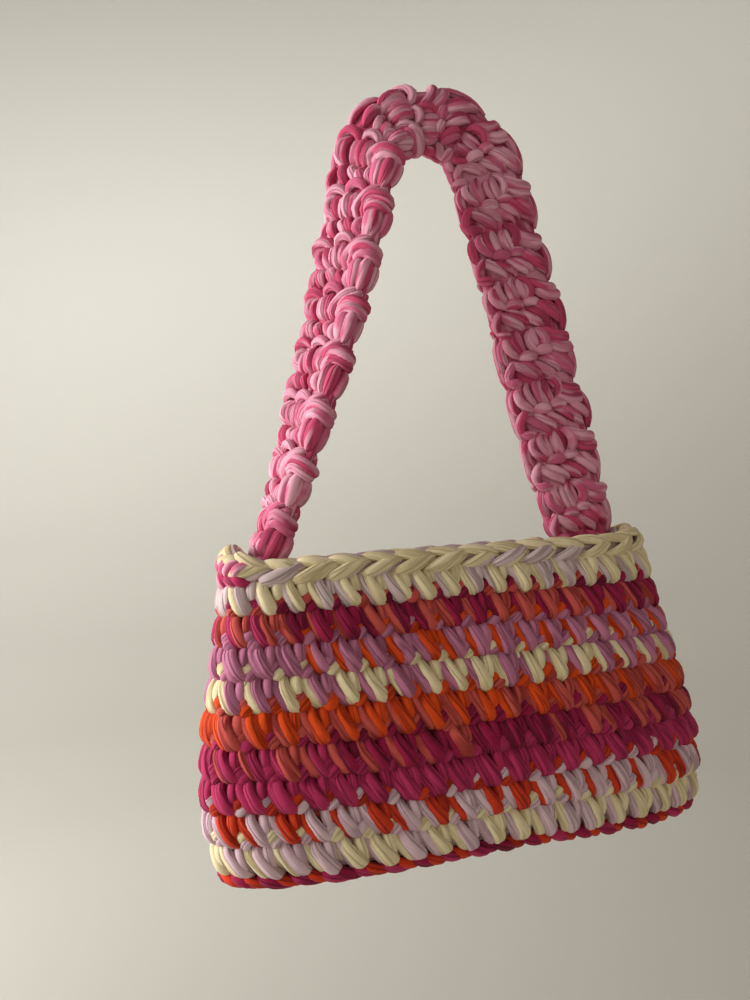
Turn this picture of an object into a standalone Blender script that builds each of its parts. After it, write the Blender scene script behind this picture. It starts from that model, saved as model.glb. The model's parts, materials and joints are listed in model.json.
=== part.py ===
"""Crocheted shoulder bag: nine rounds of fat yarn, a plaited rim, a base and a strap.

Metres, +Z up. X runs along the bag, the front faces -Y, and the origin is the underside
of the strap's arch, where a hand holds it.
"""

import math

import bmesh
import bpy
import numpy as np

# Driving sizes of the wall
BAG_LENGTH = 0.364
BAG_DEPTH = 0.092
WALL = 0.0145
ROUND_COUNT = 9
ROUND_HEIGHT = 0.0205
STITCH_PITCH = 0.0188
LOBE_DEPTH = 0.0042
LOBE_SLANT = 0.0085
BAG_LEAN = 0.007
SEAM_GAP = 0.0004

# Driving sizes of the rim and of the lashing at the left end
RIM_WIDTH = 0.0115
RIM_HEIGHT = 0.0115
RIM_INSET = 0.0045
RIM_BRAID = 0.0022
PULL_LEFT = 0.0125
PULL_RIGHT = 0.0065
PULL_REACH = 0.048
LASHING_WIDTH = 0.0100

# Driving sizes of the base
BASE_THICKNESS = 0.0105
BASE_INSET = 0.0085
BASE_SECTIONS = 40

# Driving sizes of the strap, measured from the hand-hold at the origin
STRAP_WIDTH = 0.058
STRAP_THICKNESS = 0.0155
STRAP_ROW = 0.0196
STRAP_DROP = 0.304
ARCH_INNER_RADIUS = 0.024
ARCH_OFFSET = 0.011
STRAP_TUCK = 0.024
LEFT_BOW = 0.0070
LEFT_CLEARANCE = 0.0060
RIGHT_CLEARANCE = 0.0014
SEWN_GAP = 0.0004
# Share of the mouth's depth that the gathered strap fills
END_FILL = 0.68
# Share of the tuck at which the strap leaves the wall
TUCK_TOP = 0.1

# Outline of the wall. Columns: way down the wall, length share, depth share, squareness
WALL_OUTLINE = (
    (0.00, 0.852, 0.840, 4.2),
    (0.25, 0.904, 0.900, 3.7),
    (0.50, 0.962, 0.955, 3.2),
    (0.75, 1.000, 1.000, 2.9),
    (0.86, 0.997, 0.990, 2.8),
    (1.00, 0.966, 0.930, 2.7),
)

# Rise of each seam on the front, as shares of a round's height, seam 0 at the mouth.
# Columns: left, left middle, right middle, right
SEAM_RISE = (
    (0.00, 0.00, 0.00, 0.00),
    (0.00, 0.04, 0.05, -0.03),
    (0.03, 0.02, 0.08, -0.02),
    (0.04, 0.08, 0.06, 0.10),
    (0.01, 0.02, -0.03, 0.09),
    (-0.06, -0.12, 0.00, 0.04),
    (-0.06, -0.11, 0.01, 0.09),
    (-0.02, -0.13, -0.03, 0.10),
    (0.00, -0.07, 0.09, 0.00),
    (-0.02, 0.03, 0.09, -0.04),
)
SEAM_COLUMNS = (-0.62, -0.20, 0.20, 0.62)

# Section of a round. Columns: inset share of the wall, way down the round, share of the lobe
ROUND_SECTION = (
    (1.00, 0.02, 0.0),
    (0.34, 0.00, 0.3),
    (0.05, 0.30, 0.9),
    (0.00, 0.72, 1.0),
    (0.30, 1.00, 0.4),
    (1.00, 0.98, 0.0),
)

# Section of the rim. Columns: inset share of its width, height share, braid share
RIM_SECTION = (
    (0.14, 0.00, 0.3),
    (0.00, 0.45, 1.0),
    (0.25, 0.95, 0.6),
    (0.75, 1.00, -0.6),
    (1.00, 0.50, -1.0),
    (0.86, 0.00, -0.3),
)

# Section of the lashing. Columns: inset share of its width, height share
LASHING_SECTION = (
    (0.08, 0.0),
    (0.00, 0.5),
    (0.08, 1.0),
    (1.00, 1.0),
    (1.00, 0.0),
)
# Share of the pull's reach that the lashing covers, each way from the left end
LASHING_REACH = 0.63

# Section of the base. Columns: inset share of its half depth, way down its thickness
BASE_SECTION = (
    (0.12, 0.00),
    (0.02, 0.16),
    (0.00, 0.46),
    (0.10, 0.84),
    (0.28, 1.00),
    (0.50, 0.86),
    (0.74, 1.00),
)
BASE_CROWN = 0.88

# Section of the strap. Columns: share of half its width, share of half its thickness
STRAP_SHOULDER = 0.66
STRAP_EDGE = 0.42
STRAP_SECTION = (
    (1.00, STRAP_EDGE),
    (STRAP_SHOULDER, 1.00),
    (-STRAP_SHOULDER, 1.00),
    (-1.00, STRAP_EDGE),
    (-1.00, -STRAP_EDGE),
    (-STRAP_SHOULDER, -1.00),
    (STRAP_SHOULDER, -1.00),
    (1.00, -STRAP_EDGE),
)

# The strap from left end to right. Columns: way along, face angle, how far its width has
# spread from its end's to its own, thickness share, and how far it cups round the end wall
STRAP_LIE = (
    (0.00, 180.0, 0.00, 0.84, 0.4),
    (0.05, 190.0, 0.00, 0.88, 1.0),
    (0.07, 195.0, 0.22, 0.94, 0.9),
    (0.13, 196.0, 0.75, 1.00, 0.3),
    (0.18, 201.0, 0.94, 1.00, 0.0),
    (0.24, 209.0, 1.00, 1.00, 0.0),
    (0.33, 216.0, 1.00, 1.00, 0.0),
    (0.41, 222.0, 1.00, 1.00, 0.0),
    (0.45, 240.0, 0.80, 1.05, 0.0),
    (0.50, 264.0, 0.60, 1.08, 0.0),
    (0.55, 268.0, 0.80, 1.04, 0.0),
    (0.61, 268.0, 1.00, 1.00, 0.0),
    (0.88, 268.0, 0.94, 1.00, 0.0),
    (0.92, 269.0, 0.74, 0.94, 0.0),
    (0.95, 271.0, 0.55, 0.88, 0.0),
    (1.00, 276.0, 0.55, 0.84, 0.0),
)

# Rows of the strap in turn. Columns: width share, thickness share
STRAP_ROWS = ((0.95, 1.00), (1.04, 0.86))
STRAP_GROOVE = (0.90, 0.66)

COLOURS = {
    "round_1": (0.78, 0.72, 0.58),
    "round_2": (0.55, 0.06, 0.16),
    "round_3": (0.70, 0.35, 0.48),
    "round_4": (0.74, 0.55, 0.55),
    "round_5": (0.85, 0.22, 0.05),
    "round_6": (0.50, 0.05, 0.14),
    "round_7": (0.55, 0.07, 0.24),
    "round_8": (0.75, 0.38, 0.40),
    "round_9": (0.78, 0.66, 0.58),
    "rim": (0.80, 0.74, 0.58),
    "base": (0.50, 0.05, 0.10),
    "strap": (0.72, 0.18, 0.34),
    "strap_lashing": (0.78, 0.35, 0.50),
}

MOUTH_Z = -STRAP_DROP
WALL_HEIGHT = ROUND_COUNT * ROUND_HEIGHT
CENTRE_X = -ARCH_OFFSET
DENSE = 1440


def outline_at(way_down):
    """Half length, half depth and squareness of the wall, way_down from mouth to base."""
    table = np.array(WALL_OUTLINE)
    length, depth, square = (
        float(np.interp(way_down, table[:, 0], table[:, column])) for column in (1, 2, 3)
    )
    return 0.5 * BAG_LENGTH * length, 0.5 * BAG_DEPTH * depth, square


def oval_point(half_length, half_depth, square, turn):
    """Point on a squared oval, turn in radians from +X."""
    cosine, sine = math.cos(turn), math.sin(turn)
    power = 2.0 / square
    x = math.copysign(half_length * abs(cosine) ** power, cosine)
    y = math.copysign(half_depth * abs(sine) ** power, sine)
    return x, y


def even_turns(half_length, half_depth, square):
    """Length round an oval, and a function from length along it to its turn."""
    turns = np.linspace(0.0, math.tau, DENSE + 1)
    points = np.array([oval_point(half_length, half_depth, square, turn) for turn in turns])
    steps = np.linalg.norm(np.diff(points, axis=0), axis=1)
    along = np.concatenate([[0.0], np.cumsum(steps)])
    total = float(along[-1])
    return total, lambda length: float(np.interp(length % total, along, turns))


def wall_point(way_down, inset, turn):
    """X and Y on the wall, inset from its outer face."""
    half_length, half_depth, square = outline_at(way_down)
    x, y = oval_point(half_length - inset, half_depth - inset, square, turn)
    return CENTRE_X + BAG_LEAN * (way_down - 0.5) + x, y


def end_pull(turn, amount):
    """Rise at the end that turn 0 points to, fading along the wall."""
    half_length, half_depth, square = outline_at(0.0)
    x, y = oval_point(half_length, half_depth, square, turn)
    away = math.hypot(half_length - x, y)
    if away >= PULL_REACH:
        return 0.0
    return amount * math.cos(0.5 * math.pi * away / PULL_REACH) ** 2


def seam_z(seam, turn):
    """Height of the seam under round number seam, 0 for the mouth."""
    way_down = seam / ROUND_COUNT
    half_length, half_depth, square = outline_at(way_down)
    x, y = oval_point(half_length, half_depth, square, turn)
    place = seam / ROUND_COUNT * (len(SEAM_RISE) - 1)
    lower = min(int(place), len(SEAM_RISE) - 2)
    rows = np.array(SEAM_RISE)
    row = rows[lower] + (rows[lower + 1] - rows[lower]) * (place - lower)
    rise = float(np.interp(x / half_length, SEAM_COLUMNS, row)) * ROUND_HEIGHT
    front = 0.5 - 0.5 * y / half_depth
    height = MOUTH_Z - seam * ROUND_HEIGHT + rise * front
    if seam == 0:
        height += end_pull(turn, PULL_RIGHT)
    return height


def closed_loft(name, sections, ring):
    """Solid through equal sections, a ring or with both ends capped."""
    mesh = bmesh.new()
    rows = [[mesh.verts.new(point) for point in section] for section in sections]
    size = len(rows[0])
    count = len(rows)
    for i in range(count if ring else count - 1):
        here, there = rows[i], rows[(i + 1) % count]
        for j in range(size):
            k = (j + 1) % size
            mesh.faces.new((here[j], here[k], there[k], there[j]))
    if not ring:
        mesh.faces.new(tuple(reversed(rows[0])))
        mesh.faces.new(tuple(rows[-1]))
    return finish_piece(name, mesh)


def finish_piece(name, mesh):
    """Turn a bmesh into a named object with its own material."""
    bmesh.ops.triangulate(mesh, faces=mesh.faces[:], quad_method="SHORT_EDGE", ngon_method="BEAUTY")
    bmesh.ops.recalc_face_normals(mesh, faces=mesh.faces[:])
    if mesh.calc_volume(signed=True) < 0.0:
        bmesh.ops.reverse_faces(mesh, faces=mesh.faces[:])
    data = bpy.data.meshes.new(name)
    mesh.to_mesh(data)
    mesh.free()
    data.shade_smooth()
    piece = bpy.data.objects.new(name, data)
    material = bpy.data.materials.new(name)
    material.use_nodes = True
    shader = material.node_tree.nodes["Principled BSDF"]
    shader.inputs["Base Color"].default_value = (*COLOURS.get(name, COLOURS["round_7"]), 1.0)
    shader.inputs["Roughness"].default_value = 0.9
    data.materials.append(material)
    bpy.data.collections["crochet_bag"].objects.link(piece)
    return piece


def round_stations(way_down):
    """Turns of the grooves and ridges round the wall, two to a stitch, and the turn maker."""
    total, turn_at = even_turns(*outline_at(way_down))
    stitches = max(8, round(total / STITCH_PITCH))
    step = 0.5 * total / stitches
    return [i * step for i in range(2 * stitches)], turn_at


def build_round(number):
    """One round of slanted stitch lobes between its two seams."""
    middle = (number - 0.5) / ROUND_COUNT
    stations, turn_at = round_stations(middle)
    sections = []
    for i, station in enumerate(stations):
        groove = LOBE_DEPTH if i % 2 else 0.0
        section = []
        for inset, down, lobe in ROUND_SECTION:
            turn = turn_at(station + LOBE_SLANT * down)
            top = seam_z(number - 1, turn) - 0.5 * SEAM_GAP
            low = seam_z(number, turn) + 0.5 * SEAM_GAP
            way_down = (number - 1 + down) / ROUND_COUNT
            x, y = wall_point(way_down, inset * WALL + lobe * groove, turn)
            section.append((x, y, top + (low - top) * down))
        sections.append(section)
    return closed_loft(f"round_{number}", sections, ring=True)


def rim_floor(turn):
    """Height of the rim's underside: it lies on the mouth and is pulled up at the left."""
    return seam_z(0, turn) + 0.5 * SEAM_GAP + end_pull(turn + math.pi, PULL_LEFT)


def build_rim():
    """The plait of top loops round the mouth, one outer and one inner strand to a stitch."""
    stations, turn_at = round_stations(0.5 / ROUND_COUNT)
    sections = []
    for i, station in enumerate(stations):
        turn = turn_at(station)
        braid = RIM_BRAID * (0.5 if i % 2 else -0.5)
        section = []
        for inset, up, side in RIM_SECTION:
            x, y = wall_point(0.0, RIM_INSET + inset * RIM_WIDTH + side * braid, turn)
            section.append((x, y, rim_floor(turn) + RIM_HEIGHT * up))
        sections.append(section)
    return closed_loft("rim", sections, ring=True)


def build_lashing():
    """Pink loops between the rim and round 1, where the left end is pulled up."""
    total, turn_at = even_turns(*outline_at(0.5 / ROUND_COUNT))
    reach = LASHING_REACH * PULL_REACH
    ridges = 2 * max(1, round(2.0 * reach / STITCH_PITCH)) + 1
    sections = []
    for i, away in enumerate(np.linspace(-reach, reach, ridges)):
        turn = turn_at(0.5 * total + away)
        low = seam_z(0, turn) + 0.5 * SEAM_GAP
        high = rim_floor(turn) - SEAM_GAP
        groove = 0.0 if i % 2 else 0.5 * LOBE_DEPTH
        section = []
        for inset, up in LASHING_SECTION:
            depth = RIM_INSET + inset * LASHING_WIDTH + (groove if inset < 0.5 else 0.0)
            x, y = wall_point(0.0, depth, turn)
            section.append((x, y, low + (high - low) * up))
        sections.append(section)
    return closed_loft("strap_lashing", sections, ring=False)


def build_base():
    """The bottom panel: an oval of crocheted rings under round 9."""
    half_length, half_depth, square = outline_at(1.0)
    half_length -= BASE_INSET
    half_depth -= BASE_INSET
    total, turn_at = even_turns(half_length, half_depth, square)
    turns = [turn_at(total * i / BASE_SECTIONS) for i in range(BASE_SECTIONS)]
    centre = CENTRE_X + 0.5 * BAG_LEAN
    mesh = bmesh.new()
    rows = []
    for inset, down in BASE_SECTION:
        row = []
        for turn in turns:
            shrink = inset * half_depth
            x, y = oval_point(half_length - shrink, half_depth - shrink, square, turn)
            z = seam_z(ROUND_COUNT, turn) - 0.5 * SEAM_GAP - BASE_THICKNESS * down
            row.append(mesh.verts.new((centre + x, y, z)))
        rows.append(row)
    for upper, lower in zip(rows, rows[1:]):
        for i in range(BASE_SECTIONS):
            j = (i + 1) % BASE_SECTIONS
            mesh.faces.new((upper[i], upper[j], lower[j], lower[i]))
    floor = MOUTH_Z - WALL_HEIGHT - SEAM_GAP
    for row, z in ((rows[0], floor), (rows[-1], floor - BASE_THICKNESS * BASE_CROWN)):
        hub = mesh.verts.new((centre, 0.0, z))
        for i in range(BASE_SECTIONS):
            mesh.faces.new((row[i], row[(i + 1) % BASE_SECTIONS], hub))
    return finish_piece("base", mesh)


def inner_half_length(drop):
    """Half the inside length of the wall, drop below the mouth."""
    return outline_at(drop / WALL_HEIGHT)[0] - WALL


def tangent_point(foot, centre, radius, side):
    """Where a straight leg from the foot meets the arch, side -1 for the left leg."""
    across, up = centre[0] - foot[0], centre[1] - foot[1]
    distance = math.hypot(across, up)
    angle = math.atan2(up, across) - side * math.asin(radius / distance)
    length = math.sqrt(distance * distance - radius * radius)
    return foot[0] + length * math.cos(angle), foot[1] + length * math.sin(angle)


def mouth_inside():
    """Half length, half depth and squareness of the mouth inside the rim."""
    half_length, half_depth, square = outline_at(0.0)
    inset = RIM_INSET + RIM_WIDTH
    return half_length - inset, half_depth - inset, square


def strap_width(spread):
    """Width of the strap: at its ends it gathers to fit the mouth."""
    gathered = 2.0 * END_FILL * mouth_inside()[1]
    return gathered + (STRAP_WIDTH - gathered) * spread


def end_cup():
    """How far the end wall's inside curves away over half the gathered strap's width."""
    half_length, _, square = mouth_inside()
    return half_length * (1.0 - (1.0 - END_FILL**square) ** (1.0 / square))


def strap_feet():
    """Route points of each end, from inside the bag up to the mouth."""
    first, last = STRAP_LIE[0], STRAP_LIE[-1]
    left_half = 0.5 * STRAP_THICKNESS * first[3]
    face = math.radians(last[1])
    widest = max(row[0] for row in STRAP_ROWS)
    right_half = 0.5 * strap_width(last[2]) * widest * abs(math.sin(face))
    right_half += 0.5 * STRAP_EDGE * STRAP_THICKNESS * last[3] * abs(math.cos(face))
    mouth_inner = mouth_inside()[0]
    mouth_z = MOUTH_Z + RIM_HEIGHT
    left, right = [], []
    for drop in (STRAP_TUCK, TUCK_TOP * STRAP_TUCK):
        lean = CENTRE_X + BAG_LEAN * (drop / WALL_HEIGHT - 0.5)
        reach = inner_half_length(drop) - SEWN_GAP
        left.append((lean - reach + left_half, MOUTH_Z - drop))
        right.append((lean + reach - right_half, MOUTH_Z - drop))
    lean = CENTRE_X - 0.5 * BAG_LEAN
    left.append((lean - mouth_inner + LEFT_CLEARANCE + left_half, mouth_z))
    right.append((lean + mouth_inner - RIGHT_CLEARANCE - right_half, mouth_z))
    return left, right


def strap_route():
    """Even points along the strap's middle line, from the left end to the right."""
    left, right = strap_feet()
    lie = np.array(STRAP_LIE)
    radius = ARCH_INNER_RADIUS + 0.5 * strap_width(float(np.interp(0.5, lie[:, 0], lie[:, 2])))
    centre = (0.0, -ARCH_INNER_RADIUS)
    points = list(left)
    tops = []
    for foot, side in ((left[-1], -1), (right[-1], 1)):
        tops.append(tangent_point(foot, centre, radius, side))
    legs = []
    for foot, top, bow in ((left[-1], tops[0], LEFT_BOW), (right[-1], tops[1], 0.0)):
        leg = []
        for share in np.linspace(0.05, 0.95, 19):
            inward = bow * math.sin(math.pi * share)
            leg.append((foot[0] + (top[0] - foot[0]) * share + inward, foot[1] + (top[1] - foot[1]) * share))
        legs.append(leg)
    points += legs[0]
    start = math.atan2(tops[0][1] - centre[1], tops[0][0] - centre[0])
    stop = math.atan2(tops[1][1] - centre[1], tops[1][0] - centre[0])
    for angle in np.linspace(start, stop, 25):
        points.append((centre[0] + radius * math.cos(angle), centre[1] + radius * math.sin(angle)))
    points += reversed(legs[1])
    points += reversed(right)
    return even_route(np.array(points))


def even_route(points):
    """Smooth the corners of a route and space it evenly, two points to a row."""
    steps = np.linalg.norm(np.diff(points, axis=0), axis=1)
    along = np.concatenate([[0.0], np.cumsum(steps)])
    fine = np.linspace(0.0, along[-1], DENSE)
    dense = np.stack([np.interp(fine, along, points[:, axis]) for axis in (0, 1)], axis=1)
    window = 2 * int(0.5 * STRAP_ROW / fine[1]) + 1
    padded = np.pad(dense, ((window // 2, window // 2), (0, 0)), mode="reflect", reflect_type="odd")
    kernel = np.ones(window) / window
    smooth = np.stack([np.convolve(padded[:, axis], kernel, mode="valid") for axis in (0, 1)], axis=1)
    rows = max(6, round(float(along[-1]) / STRAP_ROW))
    picks = np.linspace(0.0, DENSE - 1, 2 * rows + 1)
    index = np.arange(DENSE)
    return np.stack([np.interp(picks, index, smooth[:, axis]) for axis in (0, 1)], axis=1)


def build_strap():
    """The strap: thick and thin rows in turn, twisted on its left leg."""
    route = strap_route()
    runs = np.gradient(route, axis=0)
    lie = np.array(STRAP_LIE)
    cup_depth = end_cup()
    sections = []
    for i, (x, z) in enumerate(route):
        share = i / (len(route) - 1)
        angle, spread, thick, cup = (float(np.interp(share, lie[:, 0], lie[:, c])) for c in (1, 2, 3, 4))
        row_wide, row_thick = STRAP_ROWS[(i // 2) % 2] if i % 2 else STRAP_GROOVE
        along = np.array([runs[i][0], 0.0, runs[i][1]])
        along /= np.linalg.norm(along)
        face = np.array([math.cos(math.radians(angle)), math.sin(math.radians(angle)), 0.0])
        face -= along * face.dot(along)
        face /= np.linalg.norm(face)
        across = np.cross(along, face)
        section = []
        for side, out in STRAP_SECTION:
            push = 0.5 * STRAP_THICKNESS * thick * row_thick * out
            push -= cup_depth * cup * side * side
            reach = 0.5 * strap_width(spread) * row_wide * side
            section.append(np.array([x, 0.0, z]) + face * push + across * reach)
        sections.append(section)
    return closed_loft("strap", sections, ring=False)


def clear_scene():
    """Remove what the scene holds and make the bag's collection."""
    for old in list(bpy.data.objects):
        bpy.data.objects.remove(old, do_unlink=True)
    bag = bpy.data.collections.new("crochet_bag")
    bpy.context.scene.collection.children.link(bag)


def main():
    """Build every piece of the bag."""
    clear_scene()
    for number in range(1, ROUND_COUNT + 1):
        build_round(number)
    build_rim()
    build_lashing()
    build_base()
    build_strap()


main()
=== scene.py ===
"""Crocheted shoulder bag in fat jersey yarn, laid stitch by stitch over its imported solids.

Metres, +Z up, the origin under the strap's arch, the front of the bag facing -Y. Each round
of the wall, the rim, the base, the strap and its lashing is one mesh of swept yarn strands.
"""

from __future__ import annotations

import json
import logging
import math
from collections.abc import Callable
from dataclasses import dataclass, field
from enum import Enum

import bpy
import numpy as np
from mathutils import Matrix, Vector

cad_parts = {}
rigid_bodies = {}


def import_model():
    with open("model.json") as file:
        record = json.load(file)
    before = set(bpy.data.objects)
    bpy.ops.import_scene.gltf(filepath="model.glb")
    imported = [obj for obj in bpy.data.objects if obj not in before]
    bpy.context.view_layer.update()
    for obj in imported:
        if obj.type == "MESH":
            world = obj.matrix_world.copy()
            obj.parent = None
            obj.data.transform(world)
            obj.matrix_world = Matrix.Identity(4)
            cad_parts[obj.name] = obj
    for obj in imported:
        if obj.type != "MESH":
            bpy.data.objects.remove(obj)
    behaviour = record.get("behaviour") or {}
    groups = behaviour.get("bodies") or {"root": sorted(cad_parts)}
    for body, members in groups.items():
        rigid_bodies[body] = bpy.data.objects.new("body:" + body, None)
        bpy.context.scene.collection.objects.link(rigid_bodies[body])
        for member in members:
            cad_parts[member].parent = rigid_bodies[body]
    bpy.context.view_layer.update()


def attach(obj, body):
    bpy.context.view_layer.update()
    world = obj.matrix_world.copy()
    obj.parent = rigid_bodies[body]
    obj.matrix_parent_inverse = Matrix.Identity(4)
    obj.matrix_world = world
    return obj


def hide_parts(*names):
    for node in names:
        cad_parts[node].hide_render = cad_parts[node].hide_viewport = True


LOG = logging.getLogger("crochet_bag")
MM = 0.001
BODY = "root"
LIE_MAP = "strand_lie"
TONE = "strand_tone"

Place = Callable[[np.ndarray], tuple[np.ndarray, np.ndarray]]
TurnAt = Callable[[np.ndarray], np.ndarray]
Table = tuple[tuple[float, ...], ...]
# A strand's knots in whole numbers. Shares are in hundredths and millimetres in tenths
Knots = tuple[tuple[int, ...], ...]


class Yarn(Enum):
    """The dyed yarns that the bag is worked in."""

    CREAM = "cream"
    DUSTY_PINK = "dusty_pink"
    BURGUNDY = "burgundy"
    CORAL = "coral"
    MAUVE = "mauve"
    ORANGE = "orange"
    RASPBERRY = "raspberry"
    PALE_PINK = "pale_pink"
    ORANGE_RED = "orange_red"
    ROSE = "rose"
    PETAL = "petal"


def linear(colour: str) -> tuple[float, float, float, float]:
    """Turn an sRGB hex colour to linear light.

    Args:
        colour: Hex colour such as "#e6dca6".

    Returns:
        Linear red, green and blue, and an alpha of one.
    """
    parts = (int(colour[i : i + 2], 16) / 255.0 for i in (1, 3, 5))
    red, green, blue = (p / 12.92 if p <= 0.04045 else ((p + 0.055) / 1.055) ** 2.4 for p in parts)
    return red, green, blue, 1.0


def add_node(tree: bpy.types.NodeTree, kind: str, settings: dict, inputs: dict) -> bpy.types.Node:
    """Add one shader node.

    Args:
        tree: Tree that takes the node.
        kind: Type of the node.
        settings: Attributes to set on it.
        inputs: Socket name or number to a value, or to the output that feeds it.

    Returns:
        The new node.
    """
    node = tree.nodes.new(kind)
    for key, value in settings.items():
        setattr(node, key, value)
    for key, value in inputs.items():
        if isinstance(value, bpy.types.NodeSocket):
            tree.links.new(value, node.inputs[key])
        else:
            node.inputs[key].default_value = value
    return node


@dataclass(frozen=True)
class JerseyYarn:
    """Yarn cut from cotton jersey and rolled on itself, matt with soft lengthwise folds."""

    face: str
    # Deeper colour mixed into the creases between the folds: painted shade
    crease_shade: str
    second: str = ""
    second_share: float = 0.0
    patch_width: float = 7.0 * MM
    patch_length: float = 34.0 * MM
    patch_blur: float = 0.09
    patch_tone: float = 0.25
    patch_low: float = 0.34
    patch_span: float = 0.32
    roughness: float = 0.88
    tone_share: float = 0.8
    tone_reach: float = 1.1
    fold_width: float = 2.6 * MM
    fold_stretch: float = 0.08
    crease_width: float = 0.11
    knit_pitch: float = 1.3 * MM
    fold_height: float = 0.9 * MM
    knit_height: float = 0.16 * MM

    def material(self, name: str) -> bpy.types.Material:
        """Build the yarn's material.

        Args:
            name: Name of the dye.

        Returns:
            The new material.
        """
        material = bpy.data.materials.new(f"cotton_jersey_{name}")
        material.use_nodes = True
        tree = material.node_tree
        tree.nodes.clear()
        lie = add_node(tree, "ShaderNodeUVMap", {"uv_map": LIE_MAP}, {})
        tone = add_node(tree, "ShaderNodeAttribute", {"attribute_name": TONE}, {})
        # The jersey rolls up as it is pulled into yarn: folds run along it, a few millimetres wide
        stretch = (1.0 / self.fold_width, self.fold_stretch / self.fold_width, 1.0)
        along = add_node(
            tree, "ShaderNodeVectorMath", {"operation": "MULTIPLY"}, {0: lie.outputs["UV"], 1: stretch}
        )
        folds = add_node(
            tree,
            "ShaderNodeTexNoise",
            {"noise_dimensions": "2D"},
            {"Vector": along.outputs[0], "Scale": 0.5, "Detail": 1.0, "Roughness": 0.4},
        )
        # The folds meet in narrow lengthwise creases
        off = add_node(tree, "ShaderNodeMath", {"operation": "SUBTRACT"}, {0: folds.outputs["Fac"], 1: 0.5})
        away = add_node(tree, "ShaderNodeMath", {"operation": "ABSOLUTE"}, {0: off.outputs[0]})
        crown = add_node(
            tree,
            "ShaderNodeMapRange",
            {"interpolation_type": "SMOOTHSTEP"},
            {"Value": away.outputs[0], "From Min": 0.0, "From Max": self.crease_width},
        )
        # Knit loops about 0.8 mm wide in the real cloth, drawn a little coarser so that they show
        loops = (1.0 / self.knit_pitch, 1.0 / self.knit_pitch, 1.0)
        knit_lie = add_node(
            tree, "ShaderNodeVectorMath", {"operation": "MULTIPLY"}, {0: lie.outputs["UV"], 1: loops}
        )
        knit = add_node(
            tree,
            "ShaderNodeTexVoronoi",
            {"voronoi_dimensions": "2D", "feature": "SMOOTH_F1"},
            {"Vector": knit_lie.outputs[0], "Scale": 1.0, "Randomness": 0.55},
        )
        # Painted shade: the colour goes deeper towards the crease colour in the narrow creases between the
        # folds, and the strand's own random tone moves it paler or deeper
        tone_with_crease_shade = add_node(
            tree,
            "ShaderNodeMath",
            {"operation": "MULTIPLY_ADD"},
            {0: tone.outputs["Fac"], 1: self.tone_share, 2: crown.outputs[0]},
        )
        crease_shade_mix = add_node(
            tree,
            "ShaderNodeMapRange",
            {"interpolation_type": "SMOOTHSTEP"},
            {"Value": tone_with_crease_shade.outputs[0], "From Min": 0.0, "From Max": self.tone_reach},
        )
        colour = add_node(
            tree,
            "ShaderNodeMix",
            {"data_type": "RGBA"},
            {"Factor": crease_shade_mix.outputs[0], 6: linear(self.crease_shade), 7: linear(self.face)},
        )
        if self.second:
            colour = self._add_second(tree, lie.outputs["UV"], tone.outputs["Fac"], colour.outputs[2])
        fold_bump = add_node(
            tree,
            "ShaderNodeBump",
            {},
            {"Strength": 0.65, "Distance": self.fold_height, "Height": crown.outputs[0]},
        )
        knit_bump = add_node(
            tree,
            "ShaderNodeBump",
            {"invert": True},
            {
                "Strength": 0.5,
                "Distance": self.knit_height,
                "Height": knit.outputs["Distance"],
                "Normal": fold_bump.outputs[0],
            },
        )
        shader = add_node(
            tree,
            "ShaderNodeBsdfPrincipled",
            {},
            {
                "Base Color": colour.outputs[2],
                "Roughness": self.roughness,
                "IOR": 1.5,
                "Specular IOR Level": 0.22,
                "Sheen Weight": 0.06,
                "Sheen Roughness": 0.5,
                "Normal": knit_bump.outputs[0],
            },
        )
        add_node(tree, "ShaderNodeOutputMaterial", {}, {"Surface": shader.outputs[0]})
        return material

    def _add_second(
        self,
        tree: bpy.types.NodeTree,
        lie: bpy.types.NodeSocket,
        tone: bpy.types.NodeSocket,
        colour: bpy.types.NodeSocket,
    ) -> bpy.types.Node:
        """Let the yarn run into its second dye in soft patches along its length.

        Args:
            tree: The material's tree.
            lie: Place on the strand, across and along it.
            tone: The strand's own tone.
            colour: Colour of the first dye.

        Returns:
            The node that mixes the two dyes.
        """
        patch = (1.0 / self.patch_width, 1.0 / self.patch_length, 1.0)
        spread = add_node(tree, "ShaderNodeVectorMath", {"operation": "MULTIPLY"}, {0: lie, 1: patch})
        cloud = add_node(
            tree,
            "ShaderNodeTexNoise",
            {"noise_dimensions": "2D"},
            {"Vector": spread.outputs[0], "Scale": 1.0, "Detail": 1.0},
        )
        shifted = add_node(
            tree,
            "ShaderNodeMath",
            {"operation": "MULTIPLY_ADD"},
            {0: tone, 1: self.patch_tone, 2: cloud.outputs["Fac"]},
        )
        edge = self.patch_low + self.patch_span * self.second_share
        low, high = edge - self.patch_blur, edge + self.patch_blur
        blend = add_node(
            tree,
            "ShaderNodeMapRange",
            {"interpolation_type": "SMOOTHSTEP"},
            {"Value": shifted.outputs[0], "From Min": low, "From Max": high},
        )
        return add_node(
            tree,
            "ShaderNodeMix",
            {"data_type": "RGBA"},
            {"Factor": blend.outputs[0], 6: linear(self.second), 7: colour},
        )
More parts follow.
